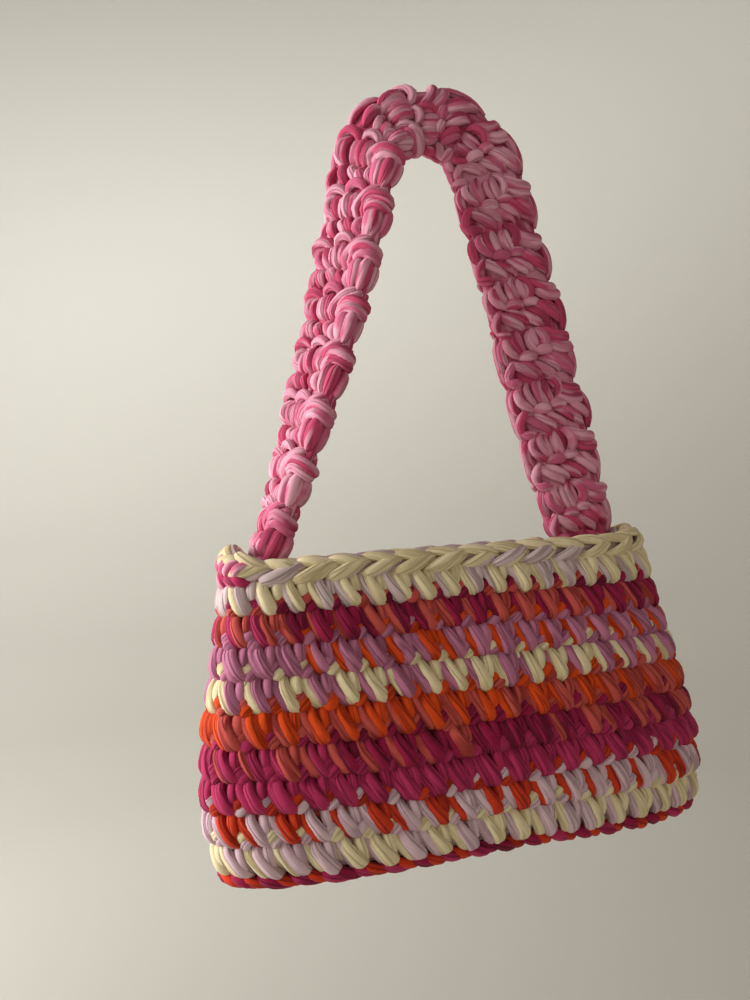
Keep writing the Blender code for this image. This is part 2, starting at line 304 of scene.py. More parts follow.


# The dyes of the cotton jersey. Columns: sRGB on top of the folds, the deeper sRGB between them that is
# painted shade in the creases, and for a yarn that runs into a second dye, that dye and its share
DYES: dict[Yarn, JerseyYarn] = {
    Yarn.CREAM: JerseyYarn("#e8d6ae", "#cfbb90"),
    Yarn.DUSTY_PINK: JerseyYarn("#d8c0c0", "#b59c9c"),
    Yarn.BURGUNDY: JerseyYarn("#9c1644", "#6a0c2c"),
    Yarn.CORAL: JerseyYarn("#c8544c", "#9e3632"),
    Yarn.MAUVE: JerseyYarn("#c07694", "#9a5874"),
    Yarn.ORANGE: JerseyYarn("#df4a10", "#ac3008"),
    Yarn.RASPBERRY: JerseyYarn("#b62e5c", "#8a1842"),
    Yarn.PALE_PINK: JerseyYarn("#dabac2", "#b998a2"),
    Yarn.ORANGE_RED: JerseyYarn("#d23a1a", "#9c2412"),
    Yarn.ROSE: JerseyYarn("#c84a6e", "#a43a5a", "#dc92a8", 0.34),
    Yarn.PETAL: JerseyYarn("#e6a6b8", "#c98398", "#cc6284", 0.40),
}


class Palette:
    """Makes each yarn's material once, when a piece first asks for it."""

    def __init__(self) -> None:
        """Start with no materials."""
        self.made: dict[Yarn, bpy.types.Material] = {}

    def material(self, yarn: Yarn) -> bpy.types.Material:
        """Give a yarn's material, made on the first call.

        Args:
            yarn: The yarn.

        Returns:
            Its material.
        """
        if yarn not in self.made:
            self.made[yarn] = DYES[yarn].material(yarn.value)
        return self.made[yarn]


def spline_weights(knots: int, rings: int) -> np.ndarray:
    """Weights of a smooth curve through evenly numbered knots.

    Args:
        knots: How many knots the curve goes through.
        rings: How many points are read off it.

    Returns:
        Array of rings by knots.
    """
    weights = np.zeros((rings, knots))
    for ring, place in enumerate(np.linspace(0.0, knots - 1, rings)):
        i = min(int(place), knots - 2)
        f = place - i
        cubic = (
            (i - 1, -0.5 * f**3 + f**2 - 0.5 * f),
            (i, 1.5 * f**3 - 2.5 * f**2 + 1.0),
            (i + 1, -1.5 * f**3 + 2.0 * f**2 + 0.5 * f),
            (i + 2, 0.5 * f**3 - 0.5 * f**2),
        )
        for knot, weight in cubic:
            weights[ring, min(max(knot, 0), knots - 1)] += weight
    return weights


def unit(vectors: np.ndarray) -> np.ndarray:
    """Scale vectors along the last axis to length one."""
    return vectors / np.maximum(np.linalg.norm(vectors, axis=-1, keepdims=True), 1e-12)


@dataclass(frozen=True)
class StrandCut:
    """How finely a kind of strand is meshed, and how deep its folds are."""

    rings: int
    sides: int
    fold_depth: float = 0.16


PANEL_CUT = StrandCut(10, 12)
WRAP_CUT = StrandCut(15, 13, 0.2)
BELLY_CUT = StrandCut(10, 14, 0.24)


@dataclass
class YarnPiece:
    """Collects swept strands and turns them into one mesh."""

    name: str
    palette: Palette
    seed: int
    folds: tuple[int, int] = (2, 5)
    fold_range: tuple[float, float] = (0.35, 1.0)
    fold_drift: float = 0.12
    map_shift: float = 0.5
    tone_spread: float = 0.30
    tone_drift: float = 0.12
    # Tone of a core that runs round in a ring, lower than the strands' own: painted shade deep in the
    # fabric
    core_shade_tone: float = -0.3
    points: list[np.ndarray] = field(default_factory=list)
    corners: list[np.ndarray] = field(default_factory=list)
    totals: list[np.ndarray] = field(default_factory=list)
    lies: list[np.ndarray] = field(default_factory=list)
    tones: list[np.ndarray] = field(default_factory=list)
    yarns: list[np.ndarray] = field(default_factory=list)
    count: int = 0

    def __post_init__(self) -> None:
        """Seed the piece's own random draws."""
        self.draw = np.random.default_rng(self.seed)

    def sweep(
        self, knots: np.ndarray, girth: np.ndarray, yarns: list[Yarn], place: Place, cut: StrandCut
    ) -> None:
        """Sweep a batch of like strands along their knots.

        Args:
            knots: Strands by knots by three, in the local measure of place.
            girth: Strands by knots by two, half the width and half the thickness in metres.
            yarns: The yarn of each strand.
            place: Turns local points into world points and outward directions.
            cut: How finely the strands are meshed.
        """
        strands, knot_count = knots.shape[:2]
        weights = spline_weights(knot_count, cut.rings)
        local, sizes = (np.einsum("rk,skc->src", weights, values) for values in (knots, girth))
        centre, outward = place(local)
        run = unit(np.gradient(centre, axis=1))
        side = unit(np.cross(run, outward))
        lift = np.cross(side, run)
        turn = np.arange(cut.sides) * math.tau / cut.sides
        each = (strands, 1, 1)
        folds = self.draw.integers(*self.folds, each)
        phase = self.draw.uniform(0.0, math.tau, each)
        drift = self.draw.uniform(-self.fold_drift, self.fold_drift, each) * np.arange(cut.rings)[:, None]
        depth = cut.fold_depth * self.draw.uniform(*self.fold_range, each)
        crease = 1.0 - depth * (1.0 - np.abs(np.cos(0.5 * folds * turn + phase + drift)))
        wide = (sizes[:, :, None, 0] * np.cos(turn) * crease)[..., None]
        thick = (sizes[:, :, None, 1] * np.sin(turn) * crease)[..., None]
        skin = centre[:, :, None] + side[:, :, None] * wide + lift[:, :, None] * thick
        step = np.linalg.norm(np.diff(centre, axis=1), axis=2)
        along = np.concatenate([np.zeros((strands, 1)), np.cumsum(step, axis=1)], axis=1)
        along += self.draw.uniform(0.0, self.map_shift, (strands, 1))
        around = math.pi * sizes.mean(axis=(1, 2))[:, None] * 2.0
        across = self.draw.uniform(0.0, self.map_shift, (strands, 1))
        across = across + around * np.arange(cut.sides + 1) / cut.sides
        self._add_skin(skin, along, across, yarns, self._tones(skin.shape[:3]), ring=False)

    def _tones(self, shape: tuple[int, ...]) -> np.ndarray:
        """Draw a tone for each strand, drifting a little along it.

        Args:
            shape: Strands, sections and sides.

        Returns:
            A tone for every point, in that shape.
        """
        strand = self.draw.uniform(-self.tone_spread, self.tone_spread, (shape[0], 1, 1))
        drift = self.draw.uniform(-self.tone_drift, self.tone_drift, (*shape[:2], 1))
        return np.broadcast_to(strand + drift, shape)

    def _add_skin(
        self,
        skin: np.ndarray,
        along: np.ndarray,
        across: np.ndarray,
        yarns: list[Yarn],
        tones: np.ndarray,
        ring: bool,
    ) -> None:
        """Store the faces of tubes of yarn.

        Args:
            skin: Tubes by sections by sides by three.
            along: Length along each tube at each section, and where a ring closes.
            across: Length round each tube at each side, and where it closes.
            yarns: The yarn of each tube.
            tones: Tone of every point.
            ring: Whether the last section joins the first, instead of both taking a cap.
        """
        tubes, sections, sides = skin.shape[:3]
        number = self.count + np.arange(tubes * sections * sides).reshape(tubes, sections, sides)
        here = number if ring else number[:, :-1]
        ahead = np.roll(number, -1, axis=1) if ring else number[:, 1:]
        quads = np.stack([here, ahead, np.roll(ahead, -1, axis=2), np.roll(here, -1, axis=2)], axis=-1)
        shape = here.shape
        left, right = (np.broadcast_to(part[:, None], shape) for part in (across[:, :-1], across[:, 1:]))
        low, high = (np.broadcast_to(part[..., None], shape) for part in (along[:, :-1], along[:, 1:]))
        lies = np.stack([left, low, left, high, right, high, right, low], axis=-1)
        dyes = np.array([list(Yarn).index(yarn) for yarn in yarns])
        self._add_faces(quads, 4, lies, np.repeat(dyes, shape[1] * sides))
        if not ring:
            for end, cap in ((0, number[:, 0]), (-1, number[:, -1, ::-1])):
                hub = np.stack([across[:, 0], along[:, end]], axis=-1)
                self._add_faces(cap, sides, np.repeat(hub, sides, axis=0), dyes)
        self.tones.append(tones.reshape(-1))
        self.points.append(skin.reshape(-1, 3))
        self.count += number.size

    def _add_faces(self, corners: np.ndarray, sides: int, lies: np.ndarray, dyes: np.ndarray) -> None:
        """Store faces of one kind.

        Args:
            corners: The points at their corners.
            sides: How many corners each has.
            lies: Place on the yarn at each corner, across and along.
            dyes: The yarn of each face, by number.
        """
        self.corners.append(corners.reshape(-1))
        self.totals.append(np.full(corners.size // sides, sides))
        self.lies.append(lies.reshape(-1, 2))
        self.yarns.append(dyes)

    def core(self, stands: np.ndarray, profile: Table, place: Place, yarn: Yarn, ring: bool = True) -> None:
        """Add the yarn deep inside the fabric as a plain core, so that no light passes through; a core that
        runs round in a ring is painted darker as shade.

        Args:
            stands: Where each section stands along the fabric.
            profile: The section's points, in the local measure of place.
            place: Turns local points into world points and outward directions.
            yarn: The yarn that shows between the strands.
            ring: Whether the core runs round in a ring.
        """
        grid = place(np.array([[(stand, *point) for point in profile] for stand in stands]))[0]
        closed = np.concatenate([grid, grid[:1]]) if ring else grid
        along = np.concatenate([[0.0], np.cumsum(np.linalg.norm(np.diff(closed[:, 0], axis=0), axis=1))])
        around = float(np.linalg.norm(np.diff(grid[0], axis=0), axis=1).sum())
        across = around * np.arange(len(profile) + 1) / len(profile)
        shape = (1, *grid.shape[:2])
        # A ringed core takes one low tone, which deepens its colour: painted shade
        tones = np.full(shape, self.core_shade_tone) if ring else self._tones(shape)
        self._add_skin(grid[None], along[None], across[None], [yarn], tones, ring)

    def build(self, node: str) -> bpy.types.Object:
        """Join everything collected into one smooth mesh that stands for a plain solid.

        Args:
            node: The solid that it replaces.

        Returns:
            The new object.
        """
        points, corners = np.concatenate(self.points), np.concatenate(self.corners)
        totals, yarns = np.concatenate(self.totals), np.concatenate(self.yarns)
        mesh = bpy.data.meshes.new(self.name)
        mesh.vertices.add(len(points))
        mesh.vertices.foreach_set("co", points.astype(np.float32).ravel())
        mesh.loops.add(len(corners))
        mesh.loops.foreach_set("vertex_index", corners.astype(np.int32))
        mesh.polygons.add(len(totals))
        starts = np.concatenate([[0], np.cumsum(totals)[:-1]])
        mesh.polygons.foreach_set("loop_start", starts.astype(np.int32))
        used = sorted(set(yarns.tolist()))
        for index in used:
            mesh.materials.append(self.palette.material(list(Yarn)[index]))
        mesh.polygons.foreach_set("material_index", np.searchsorted(used, yarns).astype(np.int32))
        lie = mesh.uv_layers.new(name=LIE_MAP)
        lie.data.foreach_set("uv", np.concatenate(self.lies).astype(np.float32).ravel())
        tone = mesh.attributes.new(TONE, "FLOAT", "POINT")
        tone.data.foreach_set("value", np.concatenate(self.tones).astype(np.float32))
        mesh.update(calc_edges=True)
        mesh.shade_smooth()
        piece = bpy.data.objects.new(self.name, mesh)
        bpy.context.scene.collection.objects.link(piece)
        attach(piece, BODY)
        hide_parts(node)
        LOG.info("%s: %d triangles", self.name, int((totals - 2).sum()))
        return piece


@dataclass
class BagWall:
    """The wall's own measure: length round a round, rounds down from the mouth, and depth."""

    length: float = 0.364
    depth: float = 0.092
    rounds: int = 9
    round_height: float = 0.0205
    pitch: float = 0.0188
    lean: float = 0.007
    centre_x: float = -0.011
    mouth_z: float = -0.304
    pull_left: float = 0.0125
    pull_right: float = 0.0065
    pull_reach: float = 0.048
    rim_inset: float = 0.0045
    samples: int = 1440
    # Columns: way down the wall, length share, depth share, squareness
    outline: Table = (
        (0.00, 0.852, 0.840, 4.2),
        (0.25, 0.904, 0.900, 3.7),
        (0.50, 0.962, 0.955, 3.2),
        (0.75, 1.000, 1.000, 2.9),
        (0.86, 0.997, 0.990, 2.8),
        (1.00, 0.966, 0.930, 2.7),
    )
    # Rise of each seam on the front, in rounds. Columns: left to right
    seam_rise: Table = (
        (0.00, 0.00, 0.00, 0.00),
        (0.00, 0.04, 0.05, -0.03),
        (0.03, 0.02, 0.08, -0.02),
        (0.04, 0.08, 0.06, 0.10),
        (0.01, 0.02, -0.03, 0.09),
        (-0.06, -0.12, 0.00, 0.04),
        (-0.06, -0.11, 0.01, 0.09),
        (-0.02, -0.13, -0.03, 0.10),
        (0.00, -0.07, 0.09, 0.00),
        (-0.02, 0.03, 0.09, -0.04),
    )
    seam_columns: tuple[float, ...] = (-0.62, -0.20, 0.20, 0.62)

    def outline_at(self, way_down: np.ndarray) -> tuple[np.ndarray, np.ndarray, np.ndarray]:
        """Give half the length, half the depth and the squareness of the wall.

        Args:
            way_down: Share of the wall's height below the mouth.

        Returns:
            Three arrays like way_down.
        """
        table = np.array(self.outline)
        length, depth, square = (np.interp(way_down, table[:, 0], table[:, c]) for c in (1, 2, 3))
        return 0.5 * self.length * length, 0.5 * self.depth * depth, square

    def oval_at(self, way_down: float) -> tuple[float, float, float]:
        """Give half the length, half the depth and the squareness at one height."""
        length, depth, square = (float(values[0]) for values in self.outline_at(np.array([way_down])))
        return length, depth, square

    @staticmethod
    def oval(
        half_length: np.ndarray, half_depth: np.ndarray, square: np.ndarray, turn: np.ndarray
    ) -> tuple[np.ndarray, np.ndarray]:
        """Give points on a squared oval.

        Args:
            half_length: Half its length.
            half_depth: Half its depth.
            square: Its squareness.
            turn: Turn from +X, in radians.

        Returns:
            X and Y.
        """
        cosine, sine, power = np.cos(turn), np.sin(turn), 2.0 / square
        x = np.sign(cosine) * half_length * np.abs(cosine) ** power
        y = np.sign(sine) * half_depth * np.abs(sine) ** power
        return x, y

    def even_turns(self, half_length: float, half_depth: float, square: float) -> tuple[float, TurnAt]:
        """Measure an oval.

        Args:
            half_length: Half its length.
            half_depth: Half its depth.
            square: Its squareness.

        Returns:
            Its length round, and a function from length along it to turn.
        """
        # A squared oval runs fast through its flat middles, so samples crowd there
        shares = np.linspace(0.0, 1.0, self.samples // 4) ** (0.5 * square)
        quarter = np.unique(np.concatenate([np.arcsin(shares), np.arccos(shares)]))
        turns = np.concatenate([quarter[:-1] + 0.5 * math.pi * i for i in range(4)] + [[math.tau]])
        x, y = self.oval(half_length, half_depth, square, turns)
        along = np.concatenate([[0.0], np.cumsum(np.hypot(np.diff(x), np.diff(y)))])
        total = float(along[-1])
        return total, lambda length: np.interp(np.mod(length, total), along, turns)

    def end_pull(self, turn: np.ndarray, amount: float) -> np.ndarray:
        """Give the rise at the end that turn 0 points to, fading along the wall.

        Args:
            turn: Turn round the bag.
            amount: The rise at the end itself, in metres.

        Returns:
            The rise in metres.
        """
        half_length, half_depth, square = self.outline_at(np.zeros(1))
        x, y = self.oval(half_length, half_depth, square, turn)
        away = np.minimum(np.hypot(half_length - x, y), self.pull_reach)
        return amount * np.cos(0.5 * math.pi * away / self.pull_reach) ** 2

    def height(self, rounds_down: np.ndarray, turn: np.ndarray) -> np.ndarray:
        """Give the height of a point on the wall.

        Args:
            rounds_down: Rounds below the mouth.
            turn: Turn round the bag.

        Returns:
            Z in metres.
        """
        half_length, half_depth, square = self.outline_at(rounds_down / self.rounds)
        x, y = self.oval(half_length, half_depth, square, turn)
        share = x / half_length
        columns = np.stack([np.interp(share, self.seam_columns, row) for row in self.seam_rise])
        held = np.clip(rounds_down, 0.0, self.rounds)
        lower = np.minimum(held.astype(int), self.rounds - 1)
        upper_rise = np.take_along_axis(columns, lower[None], axis=0)[0]
        lower_rise = np.take_along_axis(columns, lower[None] + 1, axis=0)[0]
        rise = upper_rise + (lower_rise - upper_rise) * (held - lower)
        front = 0.5 - 0.5 * y / half_depth
        z = self.mouth_z - rounds_down * self.round_height + rise * self.round_height * front
        return z + self.end_pull(turn, self.pull_right) * np.clip(1.0 - rounds_down, 0.0, 1.0)

    def point(self, rounds_down: np.ndarray, out: np.ndarray, turn: np.ndarray) -> np.ndarray:
        """Give a world point.

        Args:
            rounds_down: Rounds below the mouth.
            out: Metres outward from the outer face.
            turn: Turn round the bag.

        Returns:
            Points, three to each.
        """
        way_down = rounds_down / self.rounds
        half_length, half_depth, square = self.outline_at(way_down)
        x, y = self.oval(half_length + out, half_depth + out, square, turn)
        x = x + self.centre_x + self.lean * (np.clip(way_down, 0.0, 1.0) - 0.5)
        return np.stack([x, y, self.height(rounds_down, turn)], axis=-1)

    def place_round(self, number: int) -> tuple[float, Place]:
        """Give the measure of one round.

        Args:
            number: The round, 1 at the mouth.

        Returns:
            The round's length, and a placer of (length along, rounds below its top, out).
        """
        total, turn_at = self.even_turns(*self.oval_at((number - 0.5) / self.rounds))

        def place(local: np.ndarray) -> tuple[np.ndarray, np.ndarray]:
            """Place points of this round.

            Args:
                local: Length along the round, rounds below its top, metres out.

            Returns:
                World points and outward directions.
            """
            turn = turn_at(local[..., 0])
            down = number - 1 + local[..., 1]
            centre = self.point(down, local[..., 2], turn)
            return centre, unit(self.point(down, local[..., 2] + MM, turn) - centre)

        return total, place


# The strands of one single-crochet stitch seen from the front, from the top of the round to the
# point of its V. Columns: share of the pitch to the right, share of a round down, millimetres out
# from the wall's face, half width and half thickness in millimetres
OUTER_LEG: Knots = (
    (-38, -6, -95, 22, 20), (-41, 6, -58, 33, 30), (-36, 28, -34, 39, 35), (-23, 54, -28, 43, 37),
    (-7, 79, -29, 50, 41), (1, 96, -48, 49, 40), (4, 102, -95, 34, 30),
)
INNER_LEG: Knots = (
    (-14, -8, -95, 22, 20), (-15, 6, -56, 34, 31), (-6, 30, -24, 43, 38), (8, 56, -16, 48, 41),
    (21, 81, -17, 53, 43), (27, 97, -42, 50, 41), (26, 103, -95, 34, 30),
)
NEAR_RIGHT_LEG: Knots = (
    (28, -4, -95, 21, 20), (31, 6, -56, 34, 31), (37, 28, -30, 42, 37), (38, 54, -28, 39, 34),
    (35, 78, -42, 30, 27), (32, 94, -80, 20, 18),
)
FAR_RIGHT_LEG: Knots = (
    (50, -2, -95, 20, 19), (53, 8, -62, 32, 29), (55, 26, -44, 37, 32), (52, 48, -44, 33, 29),
    (47, 70, -58, 26, 23), (42, 86, -88, 17, 16),
)
UPPER_LOOP: Knots = (
    (-68, -2, -90, 24, 22), (-55, -14, -48, 42, 38), (-41, -26, -30, 47, 41), (-27, -38, -48, 40, 36),
    (-17, -48, -90, 22, 20),
)
LOWER_LOOP: Knots = (
    (-54, 17, -90, 22, 20), (-42, 5, -48, 40, 36), (-27, -8, -28, 46, 40), (-12, -20, -46, 39, 35),
    (0, -30, -90, 20, 18),
)
BACK_BAR: Knots = (
    (-58, 30, -95, 14, 12), (-30, 42, -118, 30, 24), (5, 50, -124, 34, 27), (35, 58, -118, 30, 24),
    (60, 70, -95, 14, 12),
)
BACK_LOOP: Knots = (
    (-30, 98, -95, 14, 12), (-22, 84, -116, 28, 23), (0, 74, -122, 32, 26), (24, 80, -116, 28, 23),
    (36, 96, -95, 14, 12),
)


@dataclass(frozen=True)
class StitchStrand:
    """One strand of a stitch: its knots, its mesh, and whether it takes the stitch's lead yarn."""

    knots: Knots
    cut: StrandCut
    leads: bool


STITCH: tuple[StitchStrand, ...] = (
    StitchStrand(OUTER_LEG, StrandCut(13, 15, 0.24), False),
    StitchStrand(INNER_LEG, StrandCut(13, 16, 0.24), True),
    StitchStrand(NEAR_RIGHT_LEG, StrandCut(10, 12, 0.2), True),
    StitchStrand(FAR_RIGHT_LEG, StrandCut(9, 11, 0.2), False),
    StitchStrand(UPPER_LOOP, StrandCut(9, 12, 0.2), False),
    StitchStrand(LOWER_LOOP, StrandCut(9, 12, 0.2), True),
    StitchStrand(BACK_BAR, StrandCut(6, 7, 0.1), True),
    StitchStrand(BACK_LOOP, StrandCut(6, 7, 0.1), False),
)

# How unevenly a hand works: the spread of a stitch's place along, up and out, and of its girth
PLACE_SPREAD = (0.03, 0.025, 0.28)
GIRTH_SPREAD = 0.07

# Yarn pairs of each round from left to right. Columns: where the pair ends, as a share of half
# the bag's length, the lead yarn, its partner, and how often the two change places
YarnBand = tuple[float, Yarn, Yarn, float]
ROUND_YARNS: dict[int, tuple[YarnBand, ...]] = {
    1: ((-0.84, Yarn.DUSTY_PINK, Yarn.DUSTY_PINK, 0.0), (9.0, Yarn.CREAM, Yarn.DUSTY_PINK, 0.38)),
    2: ((-0.70, Yarn.CORAL, Yarn.RASPBERRY, 0.5), (9.0, Yarn.BURGUNDY, Yarn.CORAL, 0.3)),
    3: ((-0.72, Yarn.MAUVE, Yarn.MAUVE, 0.0), (9.0, Yarn.MAUVE, Yarn.ORANGE, 0.36)),
    4: ((9.0, Yarn.MAUVE, Yarn.CREAM, 0.5),),
    5: ((-0.55, Yarn.ORANGE, Yarn.CORAL, 0.35), (9.0, Yarn.CORAL, Yarn.ORANGE, 0.42)),
    6: (
        (-0.55, Yarn.CORAL, Yarn.RASPBERRY, 0.4),
        (-0.10, Yarn.BURGUNDY, Yarn.CORAL, 0.3),
        (0.25, Yarn.BURGUNDY, Yarn.BURGUNDY, 0.0),
        (9.0, Yarn.BURGUNDY, Yarn.CORAL, 0.5),
    ),
    7: ((9.0, Yarn.RASPBERRY, Yarn.RASPBERRY, 0.0),),
    8: ((9.0, Yarn.PALE_PINK, Yarn.ORANGE_RED, 0.45),),
    9: ((9.0, Yarn.CREAM, Yarn.PALE_PINK, 0.42),),
}
# Yarn of each round's core, for most rounds deeper than the round's own yarns: painted shade in the gaps
# between the strands
CORE_YARNS: dict[int, Yarn] = {
    1: Yarn.CREAM,
    2: Yarn.BURGUNDY,
    3: Yarn.RASPBERRY,
    4: Yarn.MAUVE,
    5: Yarn.CORAL,
    6: Yarn.BURGUNDY,
    7: Yarn.BURGUNDY,
    8: Yarn.CORAL,
    9: Yarn.DUSTY_PINK,
}


def read_knots(knots: Knots, shares: int) -> np.ndarray:
    """Turn a strand's whole numbers into shares and millimetres.

    Args:
        knots: The strand's knots.
        shares: How many of the first columns are shares.

    Returns:
        Array like the knots.
    """
    table = np.array(knots, dtype=float)
    return np.concatenate([table[:, :shares] / 100.0, table[:, shares:] / 10.0], axis=1)


def strand_batch(
    table: np.ndarray, origins: np.ndarray, pitch: float, height: float, draw: np.random.Generator
) -> tuple[np.ndarray, np.ndarray]:
    """Repeat one strand at many stitches, each a little different as hand work is.

    Args:
        table: Rows of share of pitch, share of height, millimetres out, and the half sizes.
        origins: Where each stitch stands along the round.
        pitch: Length of one stitch.
        height: Measure of one row, one where the placer counts in rows.
        draw: Random draws.

    Returns:
        Knots and girths of every strand.
    """
    count = len(origins)
    local = np.repeat(table[None, :, :3], count, axis=0)
    for column, (spread, measure) in enumerate(zip(PLACE_SPREAD, (pitch, height, MM))):
        local[..., column] = (local[..., column] + draw.normal(0.0, spread, (count, 1))) * measure
    local[..., 0] += origins[:, None]
    girth = np.repeat(table[None, :, 3:], count, axis=0) * MM
    girth *= 1.0 + draw.normal(0.0, GIRTH_SPREAD, (count, 1, 1))
    return local, girth


@dataclass
class WallRound:
    """One crocheted round of the wall."""

    number: int
    wall: BagWall
    palette: Palette
    core_out: float = -5.2 * MM
    core_in: float = -10.5 * MM
    core_curve: float = 1.5 * MM
    core_sections: int = 90
    stitches: int = 41
    phase: float = 0.30
    phase_step: float = -0.06
    recess: float = 1.2 * MM
    lean_left: float = 0.02
    lean_right: float = 0.10
    change_spread: float = 0.04
    core_margin: float = 0.03
    first_seed: int = 40

    def yarn_pairs(self, shares: np.ndarray, draw: np.random.Generator) -> list[tuple[Yarn, Yarn]]:
        """Choose the two yarns of each stitch.

        Args:
            shares: Where each stitch stands, from -1 at the left end to 1 at the right.
            draw: Random draws.

        Returns:
            The lead yarn and its partner, for each stitch.
        """
        pairs = []
        moved = shares + draw.normal(0.0, self.change_spread, len(shares))
        for share, chance in zip(moved, draw.random(len(shares))):
            band = next(band for band in ROUND_YARNS[self.number] if share <= band[0])
            _, lead, partner, swap = band
            pairs.append((partner, lead) if chance < swap else (lead, partner))
        return pairs

    def build(self) -> bpy.types.Object:
        """Work the round's stitches.

        Returns:
            The round's piece.
        """
        name = f"round_{self.number}"
        piece = YarnPiece(f"{name}_stitches", self.palette, self.first_seed + self.number)
        total, place = self.wall.place_round(self.number)
        count = self.stitches
        pitch = total / count
        origins = (np.arange(count) + self.phase + self.phase_step * self.number) * pitch
        middle = place(np.stack([origins, np.full(count, 0.5), np.zeros(count)], axis=-1))[0]
        shares = 2.0 * (middle[:, 0] - self.wall.centre_x) / self.wall.length
        pairs = self.yarn_pairs(shares, piece.draw)
        leans = self.lean_left + (self.lean_right - self.lean_left) * 0.5 * (1.0 + shares)
        for strand in STITCH:
            if self.number == 1 and strand.knots in (UPPER_LOOP, LOWER_LOOP):
                continue
            knots, girth = strand_batch(read_knots(strand.knots, 2), origins, pitch, 1.0, piece.draw)
            knots[..., 0] += leans[:, None] * pitch * knots[..., 1]
            knots[..., 2] -= self.recess
            yarns = [pair[0] if strand.leads else pair[1] for pair in pairs]
            piece.sweep(knots, girth, yarns, place, strand.cut)
        edge = self.core_out - self.core_curve
        outer = ((self.core_margin, edge), (0.5, self.core_out), (1.0 - self.core_margin, edge))
        inner = tuple((down, self.core_in) for down, _ in reversed(outer))
        stands = np.arange(self.core_sections) * total / self.core_sections
        piece.core(stands, outer + inner, place, CORE_YARNS[self.number])
        return piece.build(name)


# The plait of top loops. Columns: share of the pitch to the right, millimetres in from the
# plait's outer edge, millimetres up from its underside, half width and half thickness
RIM_FRONT: Knots = (
    (-64, 20, -25, 24, 20), (-46, -14, -16, 36, 29), (-14, -22, 8, 42, 32), (20, -8, 42, 41, 31),
    (48, 16, 68, 34, 28), (66, 40, 64, 22, 19),
)
RIM_FRONT_UNDER: Knots = (
    (-50, 20, -46, 18, 16), (-30, -4, -32, 28, 24), (0, -10, -10, 33, 27), (28, -2, 22, 31, 26),
    (50, 14, 46, 26, 23), (66, 36, 52, 18, 16),
)
RIM_HIND: Knots = (
    (-62, 64, 92, 24, 20), (-42, 36, 96, 35, 29), (-10, 18, 90, 40, 31), (20, 8, 76, 38, 30),
    (46, 12, 58, 31, 26), (64, 34, 48, 20, 18),
)
RIM_HIND_UNDER: Knots = (
    (-60, 86, 80, 20, 18), (-40, 66, 92, 30, 25), (-6, 52, 94, 34, 28), (26, 42, 86, 32, 26),
    (50, 40, 74, 26, 22), (66, 52, 64, 18, 16),
)
RIM_INNER: Knots = (
    (-62, 80, 10, 20, 18), (-38, 102, 28, 34, 27), (0, 106, 50, 39, 29), (34, 96, 72, 36, 27),
    (62, 72, 80, 20, 18),
)
# Columns: knots of one strand for each step of the plait, its yarn, and how often the other shows
RIM_LAYERS: tuple[tuple[Knots, Yarn, float], ...] = (
    (RIM_FRONT, Yarn.CREAM, 0.30),
    (RIM_FRONT_UNDER, Yarn.DUSTY_PINK, 0.25),
    (RIM_HIND, Yarn.CREAM, 0.30),
    (RIM_HIND_UNDER, Yarn.DUSTY_PINK, 0.35),
    (RIM_INNER, Yarn.DUSTY_PINK, 0.4),
)


@dataclass
class MouthRim:
    """The plait round the mouth, pulled up where the strap hangs."""

    wall: BagWall
    palette: Palette
    strand_cut: StrandCut = StrandCut(14, 14)
    core_sections: int = 72
    pitch: float = 0.0232
    fullness: float = 1.10
    depth_spread: float = 0.2 * MM
    seed: int = 31
    plait_middle: tuple[float, float] = (6.0 * MM, 3.5 * MM)
    # Columns: millimetres in and up
    core_profile: Table = ((2.6, 0.5), (1.8, 5.0), (4.8, 8.2), (8.6, 7.6), (10.2, 4.0), (9.0, 0.5))
    turn_at: TurnAt = field(init=False)

    def place(self, local: np.ndarray) -> tuple[np.ndarray, np.ndarray]:
        """Place points of the plait.

        Args:
            local: Length along the mouth, metres in from the outer edge, metres up.

        Returns:
            World points and outward directions.
        """
        centre = self._point(local[..., 0], local[..., 1], local[..., 2])
        axis = self._point(local[..., 0], *(np.full(local.shape[:-1], part) for part in self.plait_middle))
        return centre, unit(centre - axis)

    def _point(self, length: np.ndarray, inward: np.ndarray, up: np.ndarray) -> np.ndarray:
        """Give world points on the plait.

        Args:
            length: Length along the mouth.
            inward: Metres in from the plait's outer edge.
            up: Metres above its underside.

        Returns:
            World points.
        """
        turn = self.turn_at(length)
        nought = np.zeros(turn.shape)
        point = self.wall.point(nought, -self.wall.rim_inset - inward, turn)
        point[..., 2] += up + self.wall.end_pull(turn + math.pi, self.wall.pull_left)
        return point

    def build(self) -> bpy.types.Object:
        """Plait the rim.

        Returns:
            The rim's piece.
        """
        total, self.turn_at = self.wall.even_turns(*self.wall.oval_at(0.5 / self.wall.rounds))
        piece = YarnPiece("rim_plait", self.palette, self.seed)
        count = round(total / self.pitch)
        pitch = total / count
        origins = np.arange(count) * pitch
        for knots, yarn, chance in RIM_LAYERS:
            local, girth = strand_batch(read_knots(knots, 1), origins, pitch, MM, piece.draw)
            local[..., 1] += piece.draw.normal(0.0, self.depth_spread, (count, 1))
            other = Yarn.DUSTY_PINK if yarn is Yarn.CREAM else Yarn.CREAM
            yarns = [other if roll < chance else yarn for roll in piece.draw.random(count)]
            piece.sweep(local, self.fullness * girth, yarns, self.place, self.strand_cut)
        stands = np.arange(self.core_sections) * total / self.core_sections
        profile = tuple((inward * MM, up * MM) for inward, up in self.core_profile)
        piece.core(stands, profile, self.place, Yarn.DUSTY_PINK)
        return piece.build("rim")


